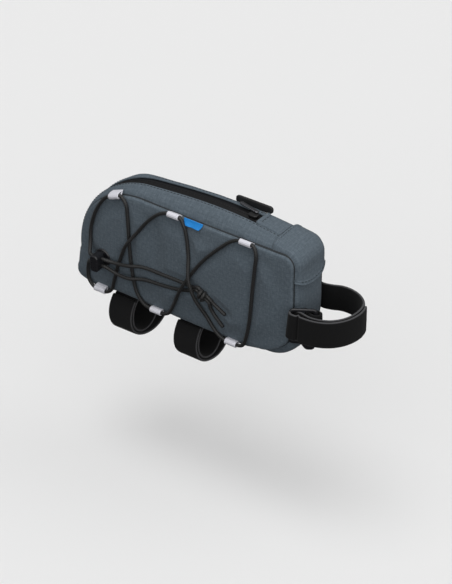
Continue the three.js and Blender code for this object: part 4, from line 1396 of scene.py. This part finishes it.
class BAG_OT_loops(bpy.types.Operator):
    """Pale tape loops in the near seams and the bare blue side tab"""

    bl_idname = "bag.loops"
    bl_label = "Tape loops and tab"

    def execute(self, context):
        f = context.scene.bag_form
        c = context.scene.bag_lacing
        tape = tape_material()
        for name, (x, z, turn, lift) in LOOPS.items():
            self.make_loop(f, c, name, (x, z, lift), math.radians(turn), tape)
        self.make_tab(f, c)
        return {"FINISHED"}

    def make_loop(self, f, c, name, row, turn, tape):
        """Tape round the cord: a circle whose inner side draws out to a neck at the seam."""
        middle = on_panel([row])[0]
        axis = np.array([math.cos(turn), 0, math.sin(turn)])
        up = np.array([-math.sin(turn), 0, math.cos(turn)])
        reach = -middle[1] - half_width(f, middle[0])
        seam = f.top if row[1] * MM > f.centre_z else f.bottom
        a = np.linspace(0, 2 * math.pi, 48, endpoint=False)
        neck = np.maximum(0, -np.cos(a)) ** 3
        outward = c.loop_radius * np.cos(a) - neck * (reach - c.loop_radius)
        height = c.loop_radius * np.sin(a) * (1 - 0.5 * neck)
        drop = np.clip(-outward / reach, 0, 1) * (seam - middle[2])
        width = np.linspace(-0.5, 0.5, 14) * c.loop_length
        grid = (
            middle
            + axis * width[:, None, None]
            + NEAR * outward[None, :, None]
            + up * height[None, :, None]
            + UP * drop[None, :, None]
        )
        wave = 0.12 * MM * ripple(width[:, None], a[None, :] * c.loop_radius, 7 * MM, int(abs(row[0])))
        grid = grid + NEAR * wave[..., None]
        turns = np.linspace(0, 2 * math.pi, 49)
        uv = joined(turns[None, :] * c.loop_radius, width[:, None])
        obj = surface(f"{name}_tape", grid, uv, inside=middle, wrap=True)
        wall(obj, c.loop_wall)
        piece(obj, [name], tape)

    def make_tab(self, f, c):
        """A short folded tape: narrower at its free edge, which leans off the panel and waves a little."""
        rear, length, free_rear, free_length = -0.6 * MM, 19.6 * MM, 2.2 * MM, 14.2 * MM
        off_seam, above_seam, thickness = 3.2 * MM, 1.2 * MM, 1.0 * MM
        t = np.linspace(0, 1, 40)[:, None]
        down = np.linspace(0, 1, 20)[None, :]
        sewn = rear + length * t
        x = sewn * (1 - down**2) + (free_rear + free_length * t) * down**2
        away = half_width(f, sewn) + off_seam + c.tab_lean * down**1.5
        away = away + 0.25 * MM * np.sin(3 * math.pi * t) * down
        z = f.top + above_seam - c.tab_drop * down
        uv = joined(x, down * c.tab_drop)
        tab = surface("blue_tab", joined(x, -away, z), uv, inside=(0, 0, f.centre_z))
        wall(tab, thickness)
        piece(tab, ["side_tab"], tab_material())


class BAG_OT_straps(bpy.types.Operator):
    """Hook-and-loop straps below and in front, the ring's webbing and the ring"""

    bl_idname = "bag.straps"
    bl_label = "Straps and ring"

    def execute(self, context):
        s = context.scene.bag_straps
        self.pile = strap_material()
        rear = self.base_path(s, s.rear_x, shift=8 * MM, taper=0.15)
        front = self.base_path(s, s.front_x, shift=6 * MM, taper=0.3)
        steerer = self.plan_path(s, STEERER_PLAN)
        webbing = self.plan_path(s, ANCHOR_PLAN)
        self.make_strap(s, "rear_tube_strap", "base_strap_rear", rear, FORWARD, s.width)
        self.make_strap(s, "front_tube_strap", "base_strap_front", front, FORWARD, s.width)
        self.make_strap(s, "steerer_strap", "front_strap", steerer, UP, s.steerer_width, s.crease_at)
        self.make_strap(s, "ring_webbing", "ring_anchor", webbing, UP, s.width, highlight_edges=False)
        self.make_ring(s)
        return {"FINISHED"}

    def base_path(self, s, x, shift, taper):
        """A spiral round the tube, from inside on the far side to outside on the near side.

        Each turn is one layer wider. The outer turn's far side lies forward by the shift, and the far
        side draws in towards the bottom by the taper; the top is pressed flat.
        """
        pressed, below_bag = 1.6 * MM, 0.3 * MM
        outer_middle, outer_reach = math.radians(-95), math.radians(130)
        a = np.linspace(s.loop_start, s.loop_end, 67)
        r = s.loop_radius - (s.thickness + s.layer_gap) * (a - s.loop_end) / (2 * math.pi)
        z = -s.loop_radius + pressed + r * np.cos(a)
        depth = np.clip(-z / (2 * s.loop_radius), 0, 1)
        side = -r * np.sin(a)
        y = np.where(side > 0, side * (1 - taper * depth**1.5), side)
        forward = shift * smooth(0, 1, 1 - np.abs(a - outer_middle) / outer_reach)
        return np.column_stack([x + forward, y, np.minimum(z, -below_bag - s.thickness / 2)])

    def at_fold(self, points, start, end):
        """1 at the steerer strap's fold on the near side, falling to 0 between two places along the bag."""
        return (1 - smooth(start, end, points[:, 0])) * (points[:, 1] < -20 * MM)

    def plan_path(self, s, plan):
        """Points of a plan view at the steerer strap's height.

        The fold lies a little higher and the webbing's start at the front seam a little lower.
        """
        higher, lower = 1.4 * MM, 3.5 * MM
        points = np.array(plan) * MM
        at_start = (1 - smooth(118 * MM, 125 * MM, points[:, 0])) * (np.abs(points[:, 1]) < 14 * MM)
        height = s.steerer_z + higher * self.at_fold(points, 112 * MM, 132 * MM) - lower * at_start
        return np.column_stack([points, height])

    def make_strap(self, s, name, node, path, width_axis, width, crease=None, highlight_edges=True):
        """A flat section with rounded edges carried along the path; the ends close over a short taper.

        A crease presses the outer layer in along an upright line, and the fold beside it leans forward.
        The section's level is rounded so that its two halves meet in the ends.
        """
        edge_power, face_power, taper = 0.12, 0.6, 1.2 * MM
        crease_depth, crease_breadth, outer_layer = 2 * MM, 1.2 * MM, -28.5 * MM
        points = spline(path, 0.8 * MM)
        tangent = unit(np.gradient(points, axis=0))
        out = unit(np.cross(tangent, width_axis))
        turn = np.linspace(0, 2 * math.pi, 48, endpoint=False)
        level = squarish(np.cos(turn).round(9), edge_power)
        across = level * width / 2
        depth = squarish(np.sin(turn), face_power) * s.thickness / 2
        run = lengths(points)
        end = np.sqrt(np.clip(np.minimum(run, run[-1] - run) / taper, 0, 1))[:, None]
        bow = 0.25 * MM * ripple(run[:, None], across[None, :], 30 * MM, len(name)) * end
        if crease is not None:
            dent = bell(points[:, 0] - crease, crease_breadth) * (points[:, 1] < outer_layer)
            bow = bow - crease_depth * dent[:, None]
        grid = (
            points[:, None, :]
            + width_axis * (across[None, :] * (1 - 0.03 * (1 - end)))[..., None]
            + out[:, None, :] * (depth[None, :] * end + bow)[..., None]
        )
        if crease is not None:
            lean = (2.2 * MM + 0.11 * across) * self.at_fold(points, 111 * MM, 127 * MM)[:, None]
            grid = grid + lean[..., None] * FORWARD
        # Painted highlight: a share of lighter grey along both long edges of the strap, left off the ring's
        # webbing.
        edge_highlight = np.broadcast_to(smooth(0.93, 0.985, np.abs(level) * highlight_edges), grid.shape[:2])
        uv = joined(run[:, None], np.r_[across, across[0]])
        obj = weld_ends(surface(name, grid, uv, wrap=True, edge_highlight=edge_highlight))
        return piece(obj, [node], self.pile)

    def make_ring(self, s):
        """A rounded flat ring: an oval section between an outer and an inner superellipse.

        The upper rail is a little lower and the lower rail bellies down to a lip.
        """
        lip_depth, lip_at, lip_breadth, upper_rail = 6 * MM, 6 * MM, 6 * MM, 0.9
        a = np.linspace(0, 2 * math.pi, 160, endpoint=False)
        cos, sin = np.cos(a), np.sin(a)

        def oval(length, height, power):
            """A superellipse: for each turn, the point where the sum of both powers is one."""
            spread = (np.abs(cos) / (length / 2)) ** power + (np.abs(sin) / (height / 2)) ** power
            return spread ** (-1 / power) * np.array([cos, sin])

        x, z = oval(s.ring_length, s.ring_height, 7)
        lip = lip_depth * bell(x - lip_at, lip_breadth, 4) * (z < -0.35 * s.ring_height)
        outer = np.array([x, np.where(z > 0, upper_rail * z, z - lip)])
        inner = oval(s.ring_length - 2 * s.ring_bar, s.ring_height - 2 * s.ring_rail, 12)
        turn = np.linspace(0, 2 * math.pi, 20, endpoint=False)
        flat = squarish(np.cos(turn), 0.6)
        deep = squarish(np.sin(turn), 0.6)
        plane = (outer + inner).T[:, None, :] / 2 + (outer - inner).T[:, None, :] / 2 * flat[None, :, None]
        along = np.array([math.cos(s.ring_turn), math.sin(s.ring_turn), 0])
        face = np.array([-math.sin(s.ring_turn), math.cos(s.ring_turn), 0])
        grid = (
            middle_of("strap_ring")
            + plane[..., :1] * along
            + plane[..., 1:] * UP
            + (deep * s.ring_thickness / 2)[None, :, None] * face
        )
        grid = np.concatenate([grid, grid[:1]])
        girth = np.linspace(0, 2 * math.pi, 21) * s.ring_thickness
        run = np.linspace(0, 2 * (s.ring_length + s.ring_height), len(grid))
        ring = weld_ends(surface("plastic_ring", grid, joined(run[:, None], girth), wrap=True))
        piece(ring, ["strap_ring"], plastic_material())


class BAG_OT_fittings(bpy.types.Operator):
    """Zip pull, and the looks of the CAD's slider, tab and cord lock"""

    bl_idname = "bag.fittings"
    bl_label = "Fittings"

    def execute(self, context):
        self.make_pull()
        self.make_tab()
        for node, material in (
            ("zip_slider", lacquer_material()),
            ("cord_lock_body", plastic_material()),
            ("cord_lock_plunger", plastic_material()),
        ):
            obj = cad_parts[node]
            obj.data.materials.clear()
            obj.data.materials.append(material)
            weld = obj.modifiers.new("join", "WELD")
            weld.merge_threshold = 0.01 * MM
            bevel = obj.modifiers.new("edges", "BEVEL")
            bevel.width = (0.35 if node == "zip_slider" else 0.8) * MM
            bevel.segments = 3
            bevel.limit_method = "ANGLE"
            bevel.angle_limit = math.radians(25)
            bevel.harden_normals = True
        return {"FINISHED"}

    def make_pull(self):
        """A flat moulded bar with rounded ends, on edge: an oval section carried along its length."""
        half_length, radius, lowered, tilt = 16.1 * MM, 3.2 * MM, 0.9 * MM, math.radians(80)
        along = np.linspace(-half_length, half_length, 90)[:, None]
        points = middle_of("zip_pull") + along * FORWARD - lowered * UP
        facing = (0, math.sin(tilt), -math.cos(tilt))

        def section(_, turn):
            """A squared-off circle, the sixth-power superellipse, a little hollow on its flat faces."""
            return (np.cos(turn) ** 6 + np.sin(turn) ** 6) ** (-1 / 6) * (1 - 0.07 * np.sin(turn) ** 4)

        pull = tube("flat_pull", points, radius, 40, facing, flatten=0.45, swell=section)
        piece(pull, ["zip_pull"], rubber_material())

    def make_tab(self):
        """A thin tab with grip ridges across it: a flat oval section whose girth waves along it."""
        half_length, radius, ridge, turn = 9.6 * MM, 1.95 * MM, 2.3 * MM, -0.24
        along = np.array([math.cos(turn), math.sin(turn), 0])
        points = middle_of("zip_tab") + np.linspace(-half_length, half_length, 120)[:, None] * along

        def ridges(run, angle):
            """A wave along the tab that grows from its edges to its flat faces."""
            return 1 + 0.1 * np.cos(2 * math.pi * run / ridge) * np.abs(np.sin(angle))

        tab = tube("grip_tab", points, radius, 24, UP, flatten=0.42, swell=ridges)
        piece(tab, ["zip_tab"], metal_material())


class BAG_PT_sidebar(bpy.types.Panel):
    """Lists the bag's operators in the order they run"""

    bl_idname = "BAG_PT_sidebar"
    bl_label = "Top tube bag"
    bl_space_type = "VIEW_3D"
    bl_region_type = "UI"
    bl_category = "Bag"

    def draw(self, context):
        for operator in OPERATORS:
            self.layout.operator(operator.bl_idname)


OPERATORS = (
    BAG_OT_stage,
    BAG_OT_cords,
    BAG_OT_panels,
    BAG_OT_gusset,
    BAG_OT_loops,
    BAG_OT_straps,
    BAG_OT_fittings,
)
CLASSES = (*GROUPS.values(), *OPERATORS, BAG_PT_sidebar)


def register():
    """Registers every class and gives the scene its property groups."""
    for cls in CLASSES:
        bpy.utils.register_class(cls)
    for name, group in GROUPS.items():
        setattr(bpy.types.Scene, name, bpy.props.PointerProperty(type=group))


def unregister():
    """Takes the property groups and the classes away again."""
    for name in GROUPS:
        delattr(bpy.types.Scene, name)
    for cls in reversed(CLASSES):
        bpy.utils.unregister_class(cls)


def main():
    """Makes the pieces in order."""
    register()
    bpy.ops.bag.stage()
    bpy.ops.bag.cords()
    bpy.ops.bag.panels()
    bpy.ops.bag.gusset()
    bpy.ops.bag.loops()
    bpy.ops.bag.straps()
    bpy.ops.bag.fittings()


if __name__ == "__main__":
    main()
